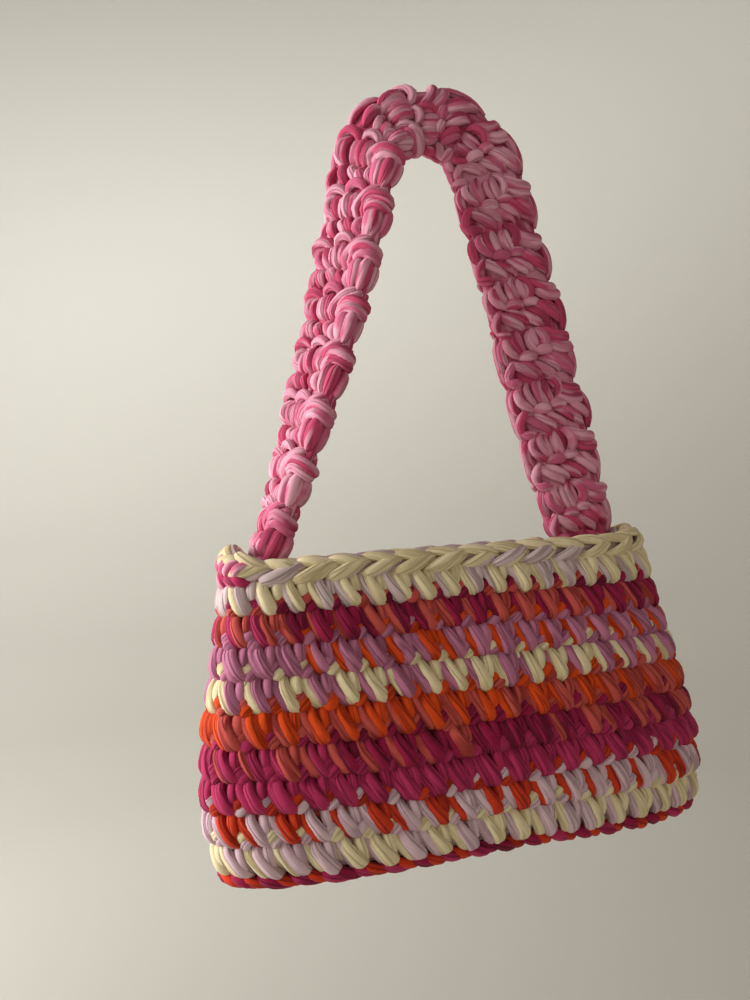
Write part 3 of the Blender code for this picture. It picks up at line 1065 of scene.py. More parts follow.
# The lashing's loops. Columns: share of the pitch, millimetres up from round 1, millimetres out,
# half width and half thickness in millimetres
LASH_ABOVE: Knots = (
    (-30, 50, -100, 22, 20), (-45, 70, -36, 36, 30), (-25, 105, -14, 39, 32), (10, 145, -22, 37, 31),
    (55, 175, -60, 28, 24),
)
LASH_BELOW: Knots = (
    (-75, 55, -90, 22, 20), (-50, 40, -26, 35, 30), (0, 8, -16, 38, 32), (45, -24, -30, 33, 28),
    (70, -44, -90, 20, 18),
)


@dataclass
class EndLashing:
    """Loops of strap yarn that sew the strap to the left end."""

    wall: BagWall
    palette: Palette
    pitch: float = 0.0078
    loops: int = 13
    least_pull: float = 0.25
    flat_reach: float = 0.35
    seed: int = 71

    def build(self) -> bpy.types.Object:
        """Wind the loops where the rim is pulled up, lower towards both sides of the pull.

        Returns:
            The lashing's piece.
        """
        total, place_wall = self.wall.place_round(1)
        piece = YarnPiece("strap_lashing_loops", self.palette, self.seed)
        origins = 0.5 * total + (np.arange(self.loops) - 0.5 * (self.loops - 1)) * self.pitch
        turns = self.wall.even_turns(*self.wall.oval_at(0.5 / self.wall.rounds))[1](origins)
        lift = self.wall.end_pull(turns + math.pi, self.wall.pull_left)
        reach = self.flat_reach + (1.0 - self.flat_reach) * lift[:, None] / self.wall.pull_left
        kept = lift > self.least_pull * self.wall.pull_left
        upward = -MM / self.wall.round_height
        for knots, dyes in (
            (LASH_ABOVE, (Yarn.PETAL, Yarn.PETAL)),
            (LASH_BELOW, (Yarn.RASPBERRY, Yarn.ROSE)),
        ):
            local, girth = strand_batch(read_knots(knots, 1), origins, self.pitch, upward, piece.draw)
            local[..., 1] *= reach
            yarns = [dyes[i % 2] for i in range(self.loops) if kept[i]]
            piece.sweep(local[kept], girth[kept], yarns, place_wall, PANEL_CUT)
        return piece.build("strap_lashing")


# The base's stitches. Columns: share of the pitch to the right, share of a ring in from the edge,
# millimetres down from the top, half width and half thickness in millimetres
BASE_OUTER: Knots = (
    (-58, 2, 2, 22, 20), (-40, -16, 24, 40, 34), (-8, -16, 50, 48, 38), (24, 6, 69, 43, 34),
    (40, 42, 76, 36, 29), (46, 90, 68, 20, 18),
)
BASE_INNER: Knots = (
    (-10, 0, 6, 22, 20), (8, -17, 28, 38, 33), (36, -12, 54, 43, 35), (58, 14, 72, 39, 32),
    (68, 48, 76, 34, 28), (70, 92, 66, 19, 17),
)


@dataclass
class BasePanel:
    """The bottom panel, worked in rings of stitches round a middle line."""

    wall: BagWall
    palette: Palette
    inset: float = 0.0085
    ring_depth: float = 0.0165
    overhang: float = 0.006
    middle_gap: float = 0.0005
    # How far the stitches at the edge turn outward, along the bag and across it
    edge_turn: tuple[float, float] = (0.35, 0.9)
    # Columns: pitch and girth of each ring, as shares of the outer ring's
    rings: Table = ((1.0, 1.0), (1.25, 1.1))
    phase: float = 0.2
    deep_chance: float = 0.25
    seed: int = 81
    core_sections: int = 60
    # Columns: rings in from the edge and millimetres down
    core_profile: Table = ((0.02, 1.0), (0.0, 4.0), (0.2, 6.0), (1.9, 6.4), (1.9, 1.0))
    half_length: float = field(init=False)
    half_depth: float = field(init=False)
    square: float = field(init=False)
    turn_at: TurnAt = field(init=False)

    def place(self, local: np.ndarray) -> tuple[np.ndarray, np.ndarray]:
        """Place points of the panel.

        Args:
            local: Length round the outer ring, rings in from the edge, metres down from the top.

        Returns:
            World points and downward directions.
        """
        turn = self.turn_at(local[..., 0])
        shrink = np.clip(local[..., 1] * self.ring_depth, -self.overhang, self.half_depth - self.middle_gap)
        x, y = self.wall.oval(self.half_length - shrink, self.half_depth - shrink, self.square, turn)
        x = x + self.wall.centre_x + 0.5 * self.wall.lean
        z = self.wall.height(np.full(turn.shape, float(self.wall.rounds)), turn) - local[..., 2]
        edge = np.clip(1.0 - local[..., 1], 0.0, 1.0)
        along, across = (share * edge for share in self.edge_turn)
        down = np.full(x.shape, -1.0)
        outward = np.stack([along * x / self.half_length, across * y / self.half_depth, down], axis=-1)
        return np.stack([x, y, z], axis=-1), unit(outward)

    def build(self) -> bpy.types.Object:
        """Work the panel.

        Returns:
            The panel's piece.
        """
        half_length, half_depth, self.square = self.wall.oval_at(1.0)
        self.half_length, self.half_depth = half_length - self.inset, half_depth - self.inset
        total, self.turn_at = self.wall.even_turns(self.half_length, self.half_depth, self.square)
        piece = YarnPiece("base_stitches", self.palette, self.seed)
        count = round(total / self.wall.pitch)
        pitch = total / count
        for ring, (step, fullness) in enumerate(self.rings):
            stitches = np.arange(round(count / step))
            origins = (stitches + self.phase) * total / len(stitches)
            for knots, yarn in ((BASE_OUTER, Yarn.RASPBERRY), (BASE_INNER, Yarn.ORANGE_RED)):
                table = read_knots(knots, 2)
                table[:, 1] += ring
                local, girth = strand_batch(table, origins, pitch * step, 1.0, piece.draw)
                rolls = piece.draw.random(len(stitches))
                yarns = [Yarn.BURGUNDY if roll < self.deep_chance else yarn for roll in rolls]
                piece.sweep(local, fullness * girth, yarns, self.place, PANEL_CUT)
        stands = np.arange(self.core_sections) * total / self.core_sections
        profile = tuple((rings_in, down * MM) for rings_in, down in self.core_profile)
        piece.core(stands, profile, self.place, Yarn.BURGUNDY)
        return piece.build("base")


@dataclass(frozen=True)
class StrapStrand:
    """One strand of the strap's repeat of two rows, seen from the front with the strap upright."""

    yarn: Yarn
    knots: Knots
    cut: StrandCut = StrandCut(9, 12, 0.16)


# Columns: share of half the width to the right, rows up from the repeat's middle, share of half
# the thickness out, half width and half thickness in millimetres
LEFT_FACE: tuple[StrapStrand, ...] = (
    StrapStrand(Yarn.PETAL, (
        (-62, 86, 40, 18, 16), (-82, 58, 90, 30, 27), (-80, 22, 100, 32, 28), (-62, -2, 85, 26, 23),
        (-50, -12, 40, 14, 13))),
    StrapStrand(Yarn.ROSE, (
        (-50, 88, 40, 18, 16), (-61, 60, 95, 29, 26), (-58, 24, 105, 31, 27), (-48, 0, 90, 26, 23),
        (-42, -10, 40, 14, 13))),
    StrapStrand(Yarn.PETAL, (
        (-34, 86, 40, 18, 16), (-39, 58, 90, 28, 25), (-36, 24, 100, 30, 26), (-34, 2, 85, 25, 22),
        (-32, -10, 40, 14, 13))),
    StrapStrand(Yarn.ROSE, (
        (-99, 60, 30, 18, 16), (-90, 86, 90, 30, 27), (-68, 100, 115, 34, 30), (-46, 94, 105, 30, 27),
        (-34, 76, 60, 18, 16))),
    StrapStrand(Yarn.PETAL, (
        (-20, 92, 40, 18, 16), (-22, 64, 95, 29, 26), (-20, 28, 105, 31, 27), (-16, 4, 85, 25, 22),
        (-12, -8, 40, 14, 13))),
    StrapStrand(Yarn.ROSE, (
        (-2, 94, 40, 18, 16), (-2, 66, 90, 28, 25), (-1, 28, 100, 30, 26), (2, 4, 85, 25, 22),
        (4, -8, 40, 14, 13))),
    StrapStrand(Yarn.PETAL, (
        (-34, 74, 50, 18, 16), (-27, 98, 100, 30, 27), (-7, 110, 115, 34, 30), (12, 102, 100, 30, 27),
        (20, 82, 50, 16, 15))),
    StrapStrand(Yarn.PETAL, (
        (74, 104, 40, 18, 16), (52, 88, 95, 33, 29), (27, 56, 110, 36, 31), (14, 18, 105, 34, 30),
        (18, -14, 50, 18, 16))),
    StrapStrand(Yarn.ROSE, (
        (84, 84, 40, 18, 16), (64, 66, 90, 31, 27), (42, 36, 100, 33, 29), (31, 6, 90, 30, 26),
        (32, -20, 40, 16, 15))),
    StrapStrand(Yarn.PETAL, (
        (60, 18, 50, 20, 18), (58, -10, 105, 43, 36), (59, -42, 110, 47, 39), (55, -72, 95, 39, 33),
        (50, -96, 40, 18, 16)), BELLY_CUT),
    StrapStrand(Yarn.ROSE, (
        (-50, -6, 40, 18, 16), (-58, -28, 95, 37, 32), (-54, -56, 100, 41, 35), (-46, -84, 50, 20, 18))),
    StrapStrand(Yarn.PETAL, (
        (-30, -10, 40, 16, 15), (-32, -32, 90, 30, 27), (-20, -56, 95, 32, 28), (-14, -80, 50, 18, 16))),
    StrapStrand(Yarn.ROSE, (
        (-4, -10, 40, 16, 15), (-4, -32, 90, 30, 27), (6, -56, 90, 31, 27), (10, -78, 50, 18, 16))),
    StrapStrand(Yarn.PETAL, (
        (38, -16, 40, 16, 15), (26, -36, 90, 29, 26), (22, -62, 90, 30, 26), (30, -86, 40, 16, 15))),
)
LEFT_EDGE: tuple[StrapStrand, ...] = (
    StrapStrand(Yarn.ROSE, (
        (34, 10, 50, 18, 16), (40, 36, 105, 36, 31), (62, 56, 115, 40, 34), (88, 50, 80, 40, 33),
        (100, 38, 5, 37, 31), (88, 34, -80, 34, 29), (60, 36, -100, 32, 27),
        (36, 34, -50, 16, 15)), WRAP_CUT),
    StrapStrand(Yarn.PETAL, (
        (46, -4, 50, 18, 16), (52, 16, 100, 32, 28), (70, 28, 105, 36, 31), (90, 22, 75, 37, 30),
        (99, 10, 0, 34, 29), (88, 8, -75, 32, 27), (60, 8, -95, 30, 26), (36, 8, -50, 16, 15)), WRAP_CUT),
    StrapStrand(Yarn.ROSE, (
        (80, 14, 50, 22, 20), (83, -12, 72, 42, 36), (82, -44, 72, 46, 39), (77, -76, 62, 40, 34),
        (68, -100, 40, 22, 20))),
    StrapStrand(Yarn.PETAL, (
        (82, 10, -40, 20, 18), (92, -16, -45, 34, 29), (92, -48, -40, 38, 32), (86, -80, -40, 32, 27),
        (76, -100, -30, 18, 16))),
    StrapStrand(Yarn.ROSE, (
        (-84, 2, 20, 18, 16), (-95, -24, 25, 36, 31), (-97, -54, 20, 39, 33), (-94, -82, 15, 33, 28),
        (-86, -102, 10, 18, 16))),
    StrapStrand(Yarn.PETAL, (
        (-84, 92, -20, 18, 16), (-96, 60, -35, 34, 29), (-98, 24, -35, 36, 31), (-94, -12, -35, 32, 27),
        (-84, -40, -20, 18, 16))),
    StrapStrand(Yarn.ROSE, (
        (-82, -30, -30, 18, 16), (-94, -56, -45, 32, 28), (-94, -80, -45, 32, 28),
        (-84, -104, -30, 18, 16))),
)
RIGHT_FACE: tuple[StrapStrand, ...] = (
    StrapStrand(Yarn.PETAL, (
        (-64, 100, 40, 16, 15), (-82, 74, 90, 28, 25), (-80, 42, 100, 31, 27), (-62, 14, 85, 26, 23),
        (-46, 2, 40, 14, 13))),
    StrapStrand(Yarn.ROSE, (
        (-50, 102, 40, 16, 15), (-62, 76, 95, 28, 25), (-60, 45, 105, 31, 27), (-48, 18, 88, 26, 23),
        (-38, 4, 40, 14, 13))),
    StrapStrand(Yarn.PETAL, (
        (-36, 100, 40, 16, 15), (-41, 74, 90, 27, 24), (-40, 46, 100, 30, 26), (-34, 18, 85, 25, 22),
        (-30, 4, 40, 14, 13))),
    StrapStrand(Yarn.PETAL, (
        (-10, 100, 40, 16, 15), (-24, 74, 90, 28, 25), (-22, 44, 100, 31, 27), (-12, 18, 85, 26, 23),
        (-2, 6, 40, 14, 13))),
    StrapStrand(Yarn.ROSE, (
        (2, 104, 40, 16, 15), (-5, 78, 95, 28, 25), (-3, 48, 105, 30, 26), (4, 20, 85, 25, 22),
        (8, 6, 40, 14, 13))),
    StrapStrand(Yarn.ROSE, (
        (4, 106, 50, 18, 16), (20, 88, 100, 34, 30), (28, 56, 110, 38, 33), (20, 26, 95, 34, 30),
        (8, 10, 40, 18, 16))),
    StrapStrand(Yarn.PETAL, (
        (-54, -2, 50, 16, 15), (-43, 2, 100, 34, 30), (-29, 1, 112, 39, 33), (-15, -4, 100, 34, 30),
        (-5, -10, 50, 16, 15))),
    StrapStrand(Yarn.PETAL, (
        (-6, 4, 50, 16, 15), (4, 8, 100, 33, 29), (18, 8, 110, 38, 32), (32, 2, 100, 32, 28),
        (40, -4, 50, 16, 15))),
    StrapStrand(Yarn.PETAL, (
        (-80, -6, 40, 16, 15), (-68, -28, 92, 30, 26), (-50, -50, 100, 34, 29), (-30, -70, 90, 30, 26),
        (-18, -88, 40, 16, 15))),
    StrapStrand(Yarn.ROSE, (
        (-60, -10, 40, 16, 15), (-47, -24, 90, 30, 26), (-29, -43, 100, 33, 28), (-11, -61, 90, 29, 25),
        (-1, -78, 40, 16, 15))),
    StrapStrand(Yarn.PETAL, (
        (-22, -12, 40, 16, 15), (-10, -32, 92, 30, 26), (8, -54, 100, 34, 29), (26, -74, 90, 30, 26),
        (36, -92, 40, 16, 15))),
    StrapStrand(Yarn.ROSE, (
        (-4, -8, 40, 16, 15), (10, -24, 90, 30, 26), (28, -44, 100, 33, 28), (42, -62, 90, 29, 25),
        (50, -80, 40, 16, 15))),
    StrapStrand(Yarn.PETAL, (
        (20, 6, 50, 18, 16), (35, -14, 100, 35, 30), (55, -42, 105, 39, 33), (75, -70, 90, 35, 30),
        (86, -94, 40, 18, 16))),
    StrapStrand(Yarn.ROSE, (
        (42, 6, 40, 18, 16), (56, -12, 95, 33, 29), (73, -36, 90, 36, 31), (88, -60, 60, 32, 28),
        (94, -84, 20, 16, 15))),
    StrapStrand(Yarn.ROSE, (
        (-68, 4, 40, 16, 15), (-85, -18, 70, 32, 28), (-95, -44, 40, 35, 30), (-93, -70, 20, 30, 26),
        (-84, -92, 10, 16, 15))),
    StrapStrand(Yarn.PETAL, (
        (-98, -80, 30, 16, 15), (-88, -90, 75, 30, 26), (-75, -94, 90, 32, 28), (-62, -98, 50, 16, 15))),
)
RIGHT_EDGE: tuple[StrapStrand, ...] = (
    StrapStrand(Yarn.ROSE, (
        (12, 100, 40, 18, 16), (30, 80, 100, 36, 31), (56, 56, 110, 42, 35), (82, 46, 85, 42, 34),
        (95, 47, 5, 38, 32), (82, 52, -80, 36, 30), (56, 56, -100, 34, 28),
        (30, 60, -50, 16, 15)), WRAP_CUT),
    StrapStrand(Yarn.PETAL, (
        (22, 64, 40, 18, 16), (38, 36, 95, 34, 30), (62, 16, 100, 40, 33), (84, 12, 78, 40, 33),
        (95, 18, 0, 37, 31), (82, 24, -78, 35, 29), (56, 28, -95, 32, 27),
        (30, 32, -50, 16, 15)), WRAP_CUT),
    StrapStrand(Yarn.PETAL, (
        (88, 30, 30, 22, 20), (95, -6, 30, 39, 33), (98, -42, 15, 44, 36), (96, -80, 10, 40, 33),
        (90, -116, 0, 22, 20))),
    StrapStrand(Yarn.ROSE, (
        (86, 60, -40, 22, 20), (93, 10, -50, 38, 32), (95, -35, -50, 40, 33), (93, -85, -50, 38, 32),
        (86, -130, -30, 22, 20))),
    StrapStrand(Yarn.ROSE, (
        (-82, 94, 10, 16, 15), (-95, 66, 15, 33, 28), (-98, 36, 10, 37, 31), (-94, 6, 0, 32, 27),
        (-84, -12, 0, 16, 15))),
    StrapStrand(Yarn.PETAL, (
        (-82, 115, -40, 20, 18), (-93, 60, -50, 36, 31), (-94, 0, -50, 38, 32), (-93, -60, -50, 36, 31),
        (-82, -115, -40, 20, 18))),
)


@dataclass
class ShoulderStrap:
    """The crocheted strap, both ends inside the mouth."""

    wall: BagWall
    palette: Palette
    width: float = 0.058
    thickness: float = 0.0155
    row: float = 0.0196
    arch_radius: float = 0.024
    tuck: float = 0.024
    left_bow: float = 0.0070
    left_clearance: float = 0.0060
    right_clearance: float = 0.0014
    sewn_gap: float = 0.0004
    end_fill: float = 0.68
    tuck_top: float = 0.1
    rim_width: float = 0.0115
    rim_height: float = 0.0115
    wall_thickness: float = 0.0145
    # Columns: way along, face angle, spread of the width, thickness share, cupping
    lie: Table = (
        (0.00, 180.0, 0.00, 0.84, 0.4),
        (0.05, 190.0, 0.00, 0.88, 1.0),
        (0.07, 195.0, 0.22, 0.94, 0.9),
        (0.13, 196.0, 0.75, 1.00, 0.3),
        (0.18, 201.0, 0.94, 1.00, 0.0),
        (0.24, 209.0, 1.00, 1.00, 0.0),
        (0.33, 216.0, 1.00, 1.00, 0.0),
        (0.41, 222.0, 1.00, 1.00, 0.0),
        (0.45, 240.0, 0.80, 1.05, 0.0),
        (0.50, 264.0, 0.60, 1.08, 0.0),
        (0.55, 268.0, 0.80, 1.04, 0.0),
        (0.61, 268.0, 1.00, 1.00, 0.0),
        (0.88, 268.0, 0.94, 1.00, 0.0),
        (0.92, 269.0, 0.74, 0.94, 0.0),
        (0.95, 271.0, 0.55, 0.88, 0.0),
        (1.00, 276.0, 0.55, 0.84, 0.0),
    )
    row_widths: tuple[float, float] = (0.95, 1.04)
    edge_share: float = 0.42
    side_share: float = 0.98
    out_share: float = 0.80
    swap_chance: float = 0.25
    fullness: float = 1.15
    unevenness: tuple[float, float, float] = (0.035, 0.05, 0.06)
    girth_spread: float = 0.08
    leg_points: int = 19
    leg_margin: float = 0.05
    arch_points: int = 25
    flat_share: float = 0.62
    edge_turn: float = 1.4
    seed: int = 91
    core_end: float = 0.02
    # Columns: share of half the width and of half the thickness
    core_profile: Table = (
        (0.86, -0.2), (0.6, -0.55), (-0.6, -0.55), (-0.86, -0.2),
        (-0.86, 0.2), (-0.6, 0.55), (0.6, 0.55), (0.86, 0.2),
    )
    rows: int = field(init=False)
    half_repeat: float = field(init=False)
    stations: np.ndarray = field(init=False)
    centre: np.ndarray = field(init=False)
    along: np.ndarray = field(init=False)
    face: np.ndarray = field(init=False)
    half_width: np.ndarray = field(init=False)
    thick: np.ndarray = field(init=False)
    cup: np.ndarray = field(init=False)

    def mouth_inside(self) -> tuple[float, float, float]:
        """Measure the oval inside the rim.

        Returns:
            Half its length, half its depth and its squareness.
        """
        half_length, half_depth, square = self.wall.oval_at(0.0)
        inset = self.wall.rim_inset + self.rim_width
        return half_length - inset, half_depth - inset, square

    def width_at(self, spread: float) -> float:
        """Give the strap's width, gathered at its ends to fit the mouth."""
        gathered = 2.0 * self.end_fill * self.mouth_inside()[1]
        return gathered + (self.width - gathered) * spread

    def feet(self) -> tuple[list[tuple[float, float]], list[tuple[float, float]]]:
        """Find the route's points inside the bag, at both ends.

        Returns:
            Left points from low to high, and right points from low to high.
        """
        first, last = self.lie[0], self.lie[-1]
        face = math.radians(last[1])
        left_half = 0.5 * self.thickness * first[3]
        right_half = 0.5 * self.width_at(last[2]) * max(self.row_widths) * abs(math.sin(face))
        right_half += 0.5 * self.edge_share * self.thickness * last[3] * abs(math.cos(face))
        wall_height = self.wall.rounds * self.wall.round_height
        left, right = [], []
        for drop in (self.tuck, self.tuck_top * self.tuck):
            lean = self.wall.centre_x + self.wall.lean * (drop / wall_height - 0.5)
            inside = self.wall.oval_at(drop / wall_height)[0] - self.wall_thickness
            reach = inside - self.sewn_gap
            left.append((lean - reach + left_half, self.wall.mouth_z - drop))
            right.append((lean + reach - right_half, self.wall.mouth_z - drop))
        lean = self.wall.centre_x - 0.5 * self.wall.lean
        mouth = self.mouth_inside()[0]
        top = self.wall.mouth_z + self.rim_height
        left.append((lean - mouth + self.left_clearance + left_half, top))
        right.append((lean + mouth - self.right_clearance - right_half, top))
        return left, right

    def route(self) -> np.ndarray:
        """Find the strap's middle line in X and Z.

        Returns:
            Even points, two to a row.
        """
        left, right = self.feet()
        lie = np.array(self.lie)
        radius = self.arch_radius + 0.5 * self.width_at(float(np.interp(0.5, lie[:, 0], lie[:, 2])))
        centre = (0.0, -self.arch_radius)
        tops = []
        for foot, side in ((left[-1], -1), (right[-1], 1)):
            across, up = centre[0] - foot[0], centre[1] - foot[1]
            distance = math.hypot(across, up)
            angle = math.atan2(up, across) - side * math.asin(radius / distance)
            reach = math.sqrt(distance**2 - radius**2)
            tops.append((foot[0] + reach * math.cos(angle), foot[1] + reach * math.sin(angle)))
        legs = []
        for foot, top, bow in ((left[-1], tops[0], self.left_bow), (right[-1], tops[1], 0.0)):
            leg = []
            for share in np.linspace(self.leg_margin, 1.0 - self.leg_margin, self.leg_points):
                x = foot[0] + (top[0] - foot[0]) * share + bow * math.sin(math.pi * share)
                leg.append((x, foot[1] + (top[1] - foot[1]) * share))
            legs.append(leg)
        start, stop = (math.atan2(top[1] - centre[1], top[0] - centre[0]) for top in tops)
        arch = [
            (centre[0] + radius * math.cos(angle), centre[1] + radius * math.sin(angle))
            for angle in np.linspace(start, stop, self.arch_points)
        ]
        return self._even(np.array(left + legs[0] + arch + legs[1][::-1] + right[::-1]))

    def _even(self, points: np.ndarray) -> np.ndarray:
        """Smooth a route and space it evenly.

        Args:
            points: The route's own points.

        Returns:
            Even points, two to a row.
        """
        dense_count = self.wall.samples
        steps = np.linalg.norm(np.diff(points, axis=0), axis=1)
        along = np.concatenate([[0.0], np.cumsum(steps)])
        fine = np.linspace(0.0, along[-1], dense_count)
        dense = np.stack([np.interp(fine, along, points[:, axis]) for axis in (0, 1)], axis=1)
        window = 2 * int(0.5 * self.row / fine[1]) + 1
        edge = window // 2
        padded = np.pad(dense, ((edge, edge), (0, 0)), mode="reflect", reflect_type="odd")
        kernel = np.ones(window) / window
        smooth = np.stack([np.convolve(padded[:, axis], kernel, mode="valid") for axis in (0, 1)], axis=1)
        self.rows = max(6, round(float(along[-1]) / self.row))
        picks = np.linspace(0.0, dense_count - 1, 2 * self.rows + 1)
        numbers = np.arange(dense_count)
        return np.stack([np.interp(picks, numbers, smooth[:, axis]) for axis in (0, 1)], axis=1)

    def prepare(self) -> None:
        """Work out the strap's frame along its route."""
        route = self.route()
        count = len(route)
        runs = np.gradient(route, axis=0)
        lie = np.array(self.lie)
        shares = np.linspace(0.0, 1.0, count)
        angle, spread, thick, cup = (np.interp(shares, lie[:, 0], lie[:, c]) for c in (1, 2, 3, 4))
        nought = np.zeros(count)
        self.centre = np.stack([route[:, 0], nought, route[:, 1]], axis=-1)
        self.along = unit(np.stack([runs[:, 0], nought, runs[:, 1]], axis=-1))
        face = np.stack([np.cos(np.radians(angle)), np.sin(np.radians(angle)), nought], axis=-1)
        face -= self.along * (face * self.along).sum(axis=1, keepdims=True)
        self.face = unit(face)
        half_length, _, square = self.mouth_inside()
        cup_depth = half_length * (1.0 - (1.0 - self.end_fill**square) ** (1.0 / square))
        self.half_width = np.array([0.5 * self.width_at(s) for s in spread])
        self.thick = thick
        self.cup = cup * cup_depth
        self.stations = np.arange(count) / 2.0

    def place(self, local: np.ndarray) -> tuple[np.ndarray, np.ndarray]:
        """Place points of the strap.

        Args:
            local: Rows along the strap, share of half its width, and share of half its thickness.

        Returns:
            World points, and directions out of the strap's rounded section.
        """
        rows = np.clip(local[..., 0], 0.0, self.stations[-1])

        def pick(values: np.ndarray) -> np.ndarray:
            """Read the strap's frame off between its stations."""
            return np.stack([np.interp(rows, self.stations, values[:, c]) for c in range(3)], axis=-1)

        centre, along, face = pick(self.centre), unit(pick(self.along)), unit(pick(self.face))
        across = unit(np.cross(along, face))
        half_width = np.interp(rows, self.stations, self.half_width)
        half_thick = 0.5 * self.thickness * np.interp(rows, self.stations, self.thick)
        cup = np.interp(rows, self.stations, self.cup)
        side, out = local[..., 1], local[..., 2]
        push = out * half_thick - cup * side * side
        point = centre + face * push[..., None] + across * (side * half_width)[..., None]
        edge = np.clip((np.abs(side) - self.flat_share) / (1.0 - self.flat_share), 0.0, 1.0) * np.sign(side)
        outward = unit(face * out[..., None] + across * (self.edge_turn * edge)[..., None])
        return point, outward

    def build(self) -> bpy.types.Object:
        """Work the strap's rows, front and back.

        Returns:
            The strap's piece.
        """
        self.prepare()
        piece = YarnPiece("strap_stitches", self.palette, self.seed)
        repeats = round(0.5 * self.rows)
        self.half_repeat = 0.5 * self.rows / repeats
        middles = (2.0 * np.arange(repeats) + 1.0) * self.half_repeat
        rising = middles < 0.5 * self.rows
        for stands, up, on_face, on_edge in (
            (middles[rising], 1.0, LEFT_FACE, LEFT_EDGE),
            (middles[~rising], -1.0, RIGHT_FACE, RIGHT_EDGE),
        ):
            for face in (1.0, -1.0):
                for strand in on_face:
                    self._add_strand(piece, strand, stands, up, face)
            for strand in on_edge:
                self._add_strand(piece, strand, stands, up, 1.0)
        stands = np.linspace(self.core_end, self.rows - self.core_end, 2 * self.rows + 1)
        piece.core(stands, self.core_profile, self.place, Yarn.ROSE, ring=False)
        return piece.build("strap")

    def _add_strand(
        self, piece: YarnPiece, strand: StrapStrand, stands: np.ndarray, up: float, face: float
    ) -> None:
        """Repeat one strand along a leg.

        Args:
            piece: The piece that takes it.
            strand: The strand as the viewer sees it.
            stands: Middle of each repeat, in rows along the strap.
            up: One where the strap runs upward, minus one where it runs downward.
            face: One for the front face, minus one for the back.
        """
        table = read_knots(strand.knots, 3)
        count = len(stands)
        shift = piece.draw.normal(0.0, 1.0, (count, 1, 3)) * self.unevenness
        right, high, out = (table[None, :, c] + shift[..., c] for c in range(3))
        rows = stands[:, None] + up * high * self.half_repeat
        local = np.stack([rows, self.side_share * right * up, self.out_share * out * face], axis=-1)
        fullness = self.fullness + piece.draw.normal(0.0, self.girth_spread, (count, 1, 1))
        girth = table[None, :, 3:] * MM * fullness
        other = Yarn.ROSE if strand.yarn is Yarn.PETAL else Yarn.PETAL
        yarns = [other if roll < self.swap_chance else strand.yarn for roll in piece.draw.random(count)]
        piece.sweep(local, girth, yarns, self.place, strand.cut)


@dataclass(frozen=True)
class PlasterFinish:
    """Plain painted plaster, matt, with painted light: paler on the window's side and higher up, as in a
    room lit by a window.
    """

    # Pale on the window's side and deep away from it: painted light
    pale: str = "#efede5"
    deep: str = "#bab6ac"
    reach: float = 1.3
    window_light_slope: tuple[float, float, float] = (0.33, 0.0, -0.9)

    def material(self) -> bpy.types.Material:
        """Build the floor's material.

        Returns:
            The new material.
        """
        material = bpy.data.materials.new("studio_plaster")
        material.use_nodes = True
        tree = material.node_tree
        tree.nodes.clear()
        where = add_node(tree, "ShaderNodeTexCoord", {}, {})
        # Painted light: the plaster is paler on the window's side and higher up, as window light would
        # leave it
        way = add_node(
            tree,
            "ShaderNodeVectorMath",
            {"operation": "DOT_PRODUCT"},
            {0: where.outputs["Object"], 1: self.window_light_slope},
        )
        share = add_node(
            tree,
            "ShaderNodeMapRange",
            {"interpolation_type": "SMOOTHSTEP"},
            {"Value": way.outputs["Value"], "From Min": -self.reach, "From Max": self.reach},
        )
        colour = add_node(
            tree,
            "ShaderNodeMix",
            {"data_type": "RGBA"},
            {"Factor": share.outputs[0], 6: linear(self.pale), 7: linear(self.deep)},
        )
        shader = add_node(
            tree,
            "ShaderNodeBsdfPrincipled",
            {},
            {"Base Color": colour.outputs[2], "Roughness": 0.95, "Specular IOR Level": 0.1},
        )
        add_node(tree, "ShaderNodeOutputMaterial", {}, {"Surface": shader.outputs[0]})
        return material


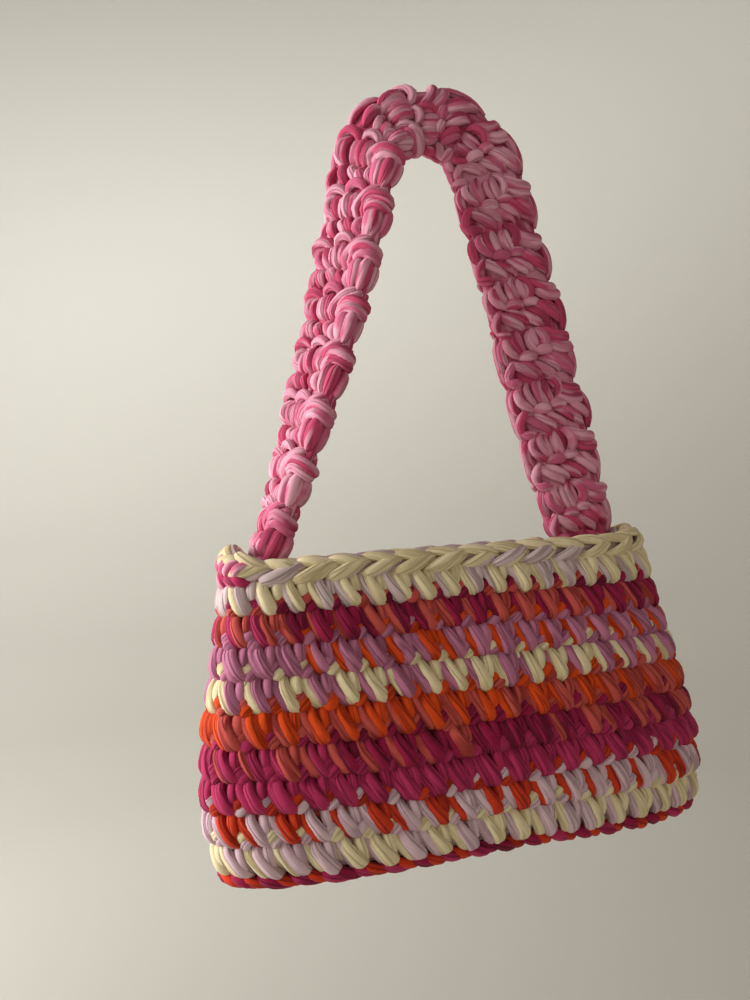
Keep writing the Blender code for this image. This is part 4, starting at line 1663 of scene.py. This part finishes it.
@dataclass
class Studio:
    """The camera, the lights and the pale floor."""

    camera_at: tuple[float, float, float] = (-0.1938, -0.5464, -0.2845)
    yaw: float = 13.92
    pitch: float = -2.92
    roll: float = -4.29
    focal_px: float = 800.0
    picture_height: int = 1000
    sensor: float = 36.0
    floor_z: float = -0.95
    floor_radius: float = 3.2
    floor_sectors: int = 96
    # The floor's middle, its edge swept up, and the wall. Columns: share of the radius, metres up
    floor_rings: Table = (
        (0.0, 0.0), (0.3, 0.0), (0.55, 0.02), (0.72, 0.12), (0.86, 0.36), (0.95, 0.75),
        (1.0, 1.3), (1.0, 3.6),
    )
    backdrop: str = "#d8d5cb"
    air_strength: float = 0.25
    # A window on the left, the room behind the camera, and what the wall itself catches.
    # Columns: name, place, aim, side of its square in metres, watts
    lights: tuple[tuple[str, tuple[float, ...], tuple[float, ...], float, float], ...] = (
        ("window_light", (-1.9, 0.3, 0.3), (0.0, 0.0, -0.30), 1.5, 65.0),
        ("room_light", (0.6, -1.9, 0.6), (0.1, 0.0, 0.2), 1.6, 3.0),
        ("wall_light", (-0.5, 0.9, 1.0), (-0.2, 3.2, 0.5), 1.5, 28.0),
    )

    def build(self) -> None:
        """Set up everything round the bag."""
        self._add_camera()
        self._add_floor()
        self._add_lights()

    def _add_camera(self) -> None:
        """Stand the camera where the photograph was taken."""
        cy, sy = math.cos(math.radians(self.yaw)), math.sin(math.radians(self.yaw))
        cp, sp = math.cos(math.radians(self.pitch)), math.sin(math.radians(self.pitch))
        cr, sr = math.cos(math.radians(self.roll)), math.sin(math.radians(self.roll))
        axes = Matrix(((1, 0, 0), (0, 0, -1), (0, 1, 0)))
        turn = Matrix(((cy, -sy, 0), (sy, cy, 0), (0, 0, 1)))
        tip = Matrix(((1, 0, 0), (0, cp, -sp), (0, sp, cp)))
        tilt = Matrix(((cr, -sr, 0), (sr, cr, 0), (0, 0, 1)))
        view = tilt @ tip @ axes @ turn
        data = bpy.data.cameras.new("photo_camera")
        data.sensor_width = self.sensor
        data.lens = self.focal_px * self.sensor / self.picture_height
        camera = bpy.data.objects.new("photo_camera", data)
        bpy.context.scene.collection.objects.link(camera)
        columns = Matrix((view[0], -view[1], -view[2])).transposed()
        camera.matrix_world = Matrix.Translation(self.camera_at) @ columns.to_4x4()
        bpy.context.scene.camera = camera

    def _add_floor(self) -> None:
        """Lay the pale floor, its edge swept up into a plain round wall."""
        rings, sectors = self.floor_rings, self.floor_sectors
        points = [(0.0, 0.0, self.floor_z)]
        for share, rise in rings[1:]:
            for i in range(sectors):
                angle = math.tau * i / sectors
                radius = self.floor_radius * share
                points.append((radius * math.cos(angle), radius * math.sin(angle), self.floor_z + rise))
        faces = [(0, 1 + i, 1 + (i + 1) % sectors) for i in range(sectors)]
        for ring in range(len(rings) - 2):
            here, there = 1 + ring * sectors, 1 + (ring + 1) * sectors
            for i in range(sectors):
                j = (i + 1) % sectors
                faces.append((here + i, there + i, there + j, here + j))
        mesh = bpy.data.meshes.new("studio_floor")
        mesh.from_pydata(points, [], faces)
        mesh.shade_smooth()
        mesh.materials.append(PlasterFinish().material())
        floor = bpy.data.objects.new("studio_floor", mesh)
        bpy.context.scene.collection.objects.link(floor)

    def _add_lights(self) -> None:
        """Light the bag softly, more from the left than from the right."""
        bpy.context.scene.view_settings.view_transform = "Standard"
        world = bpy.data.worlds.new("studio_air")
        bpy.context.scene.world = world
        world.use_nodes = True
        air = world.node_tree.nodes["Background"]
        air.inputs["Color"].default_value = linear(self.backdrop)
        air.inputs["Strength"].default_value = self.air_strength
        for name, at, aim, size, power in self.lights:
            data = bpy.data.lights.new(name, "AREA")
            data.shape = "SQUARE"
            data.size = size
            data.energy = power
            light = bpy.data.objects.new(name, data)
            bpy.context.scene.collection.objects.link(light)
            light.location = at
            light.rotation_euler = (Vector(aim) - Vector(at)).to_track_quat("-Z", "Y").to_euler()


def main() -> None:
    """Dress the bag, piece by piece."""
    logging.basicConfig(level=logging.INFO, format="%(message)s")
    for old in list(bpy.data.objects):
        bpy.data.objects.remove(old, do_unlink=True)
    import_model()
    wall = BagWall()
    palette = Palette()
    Studio().build()
    for number in range(1, wall.rounds + 1):
        WallRound(number, wall, palette).build()
    MouthRim(wall, palette).build()
    EndLashing(wall, palette).build()
    BasePanel(wall, palette).build()
    ShoulderStrap(wall, palette).build()


if __name__ == "__main__":
    main()
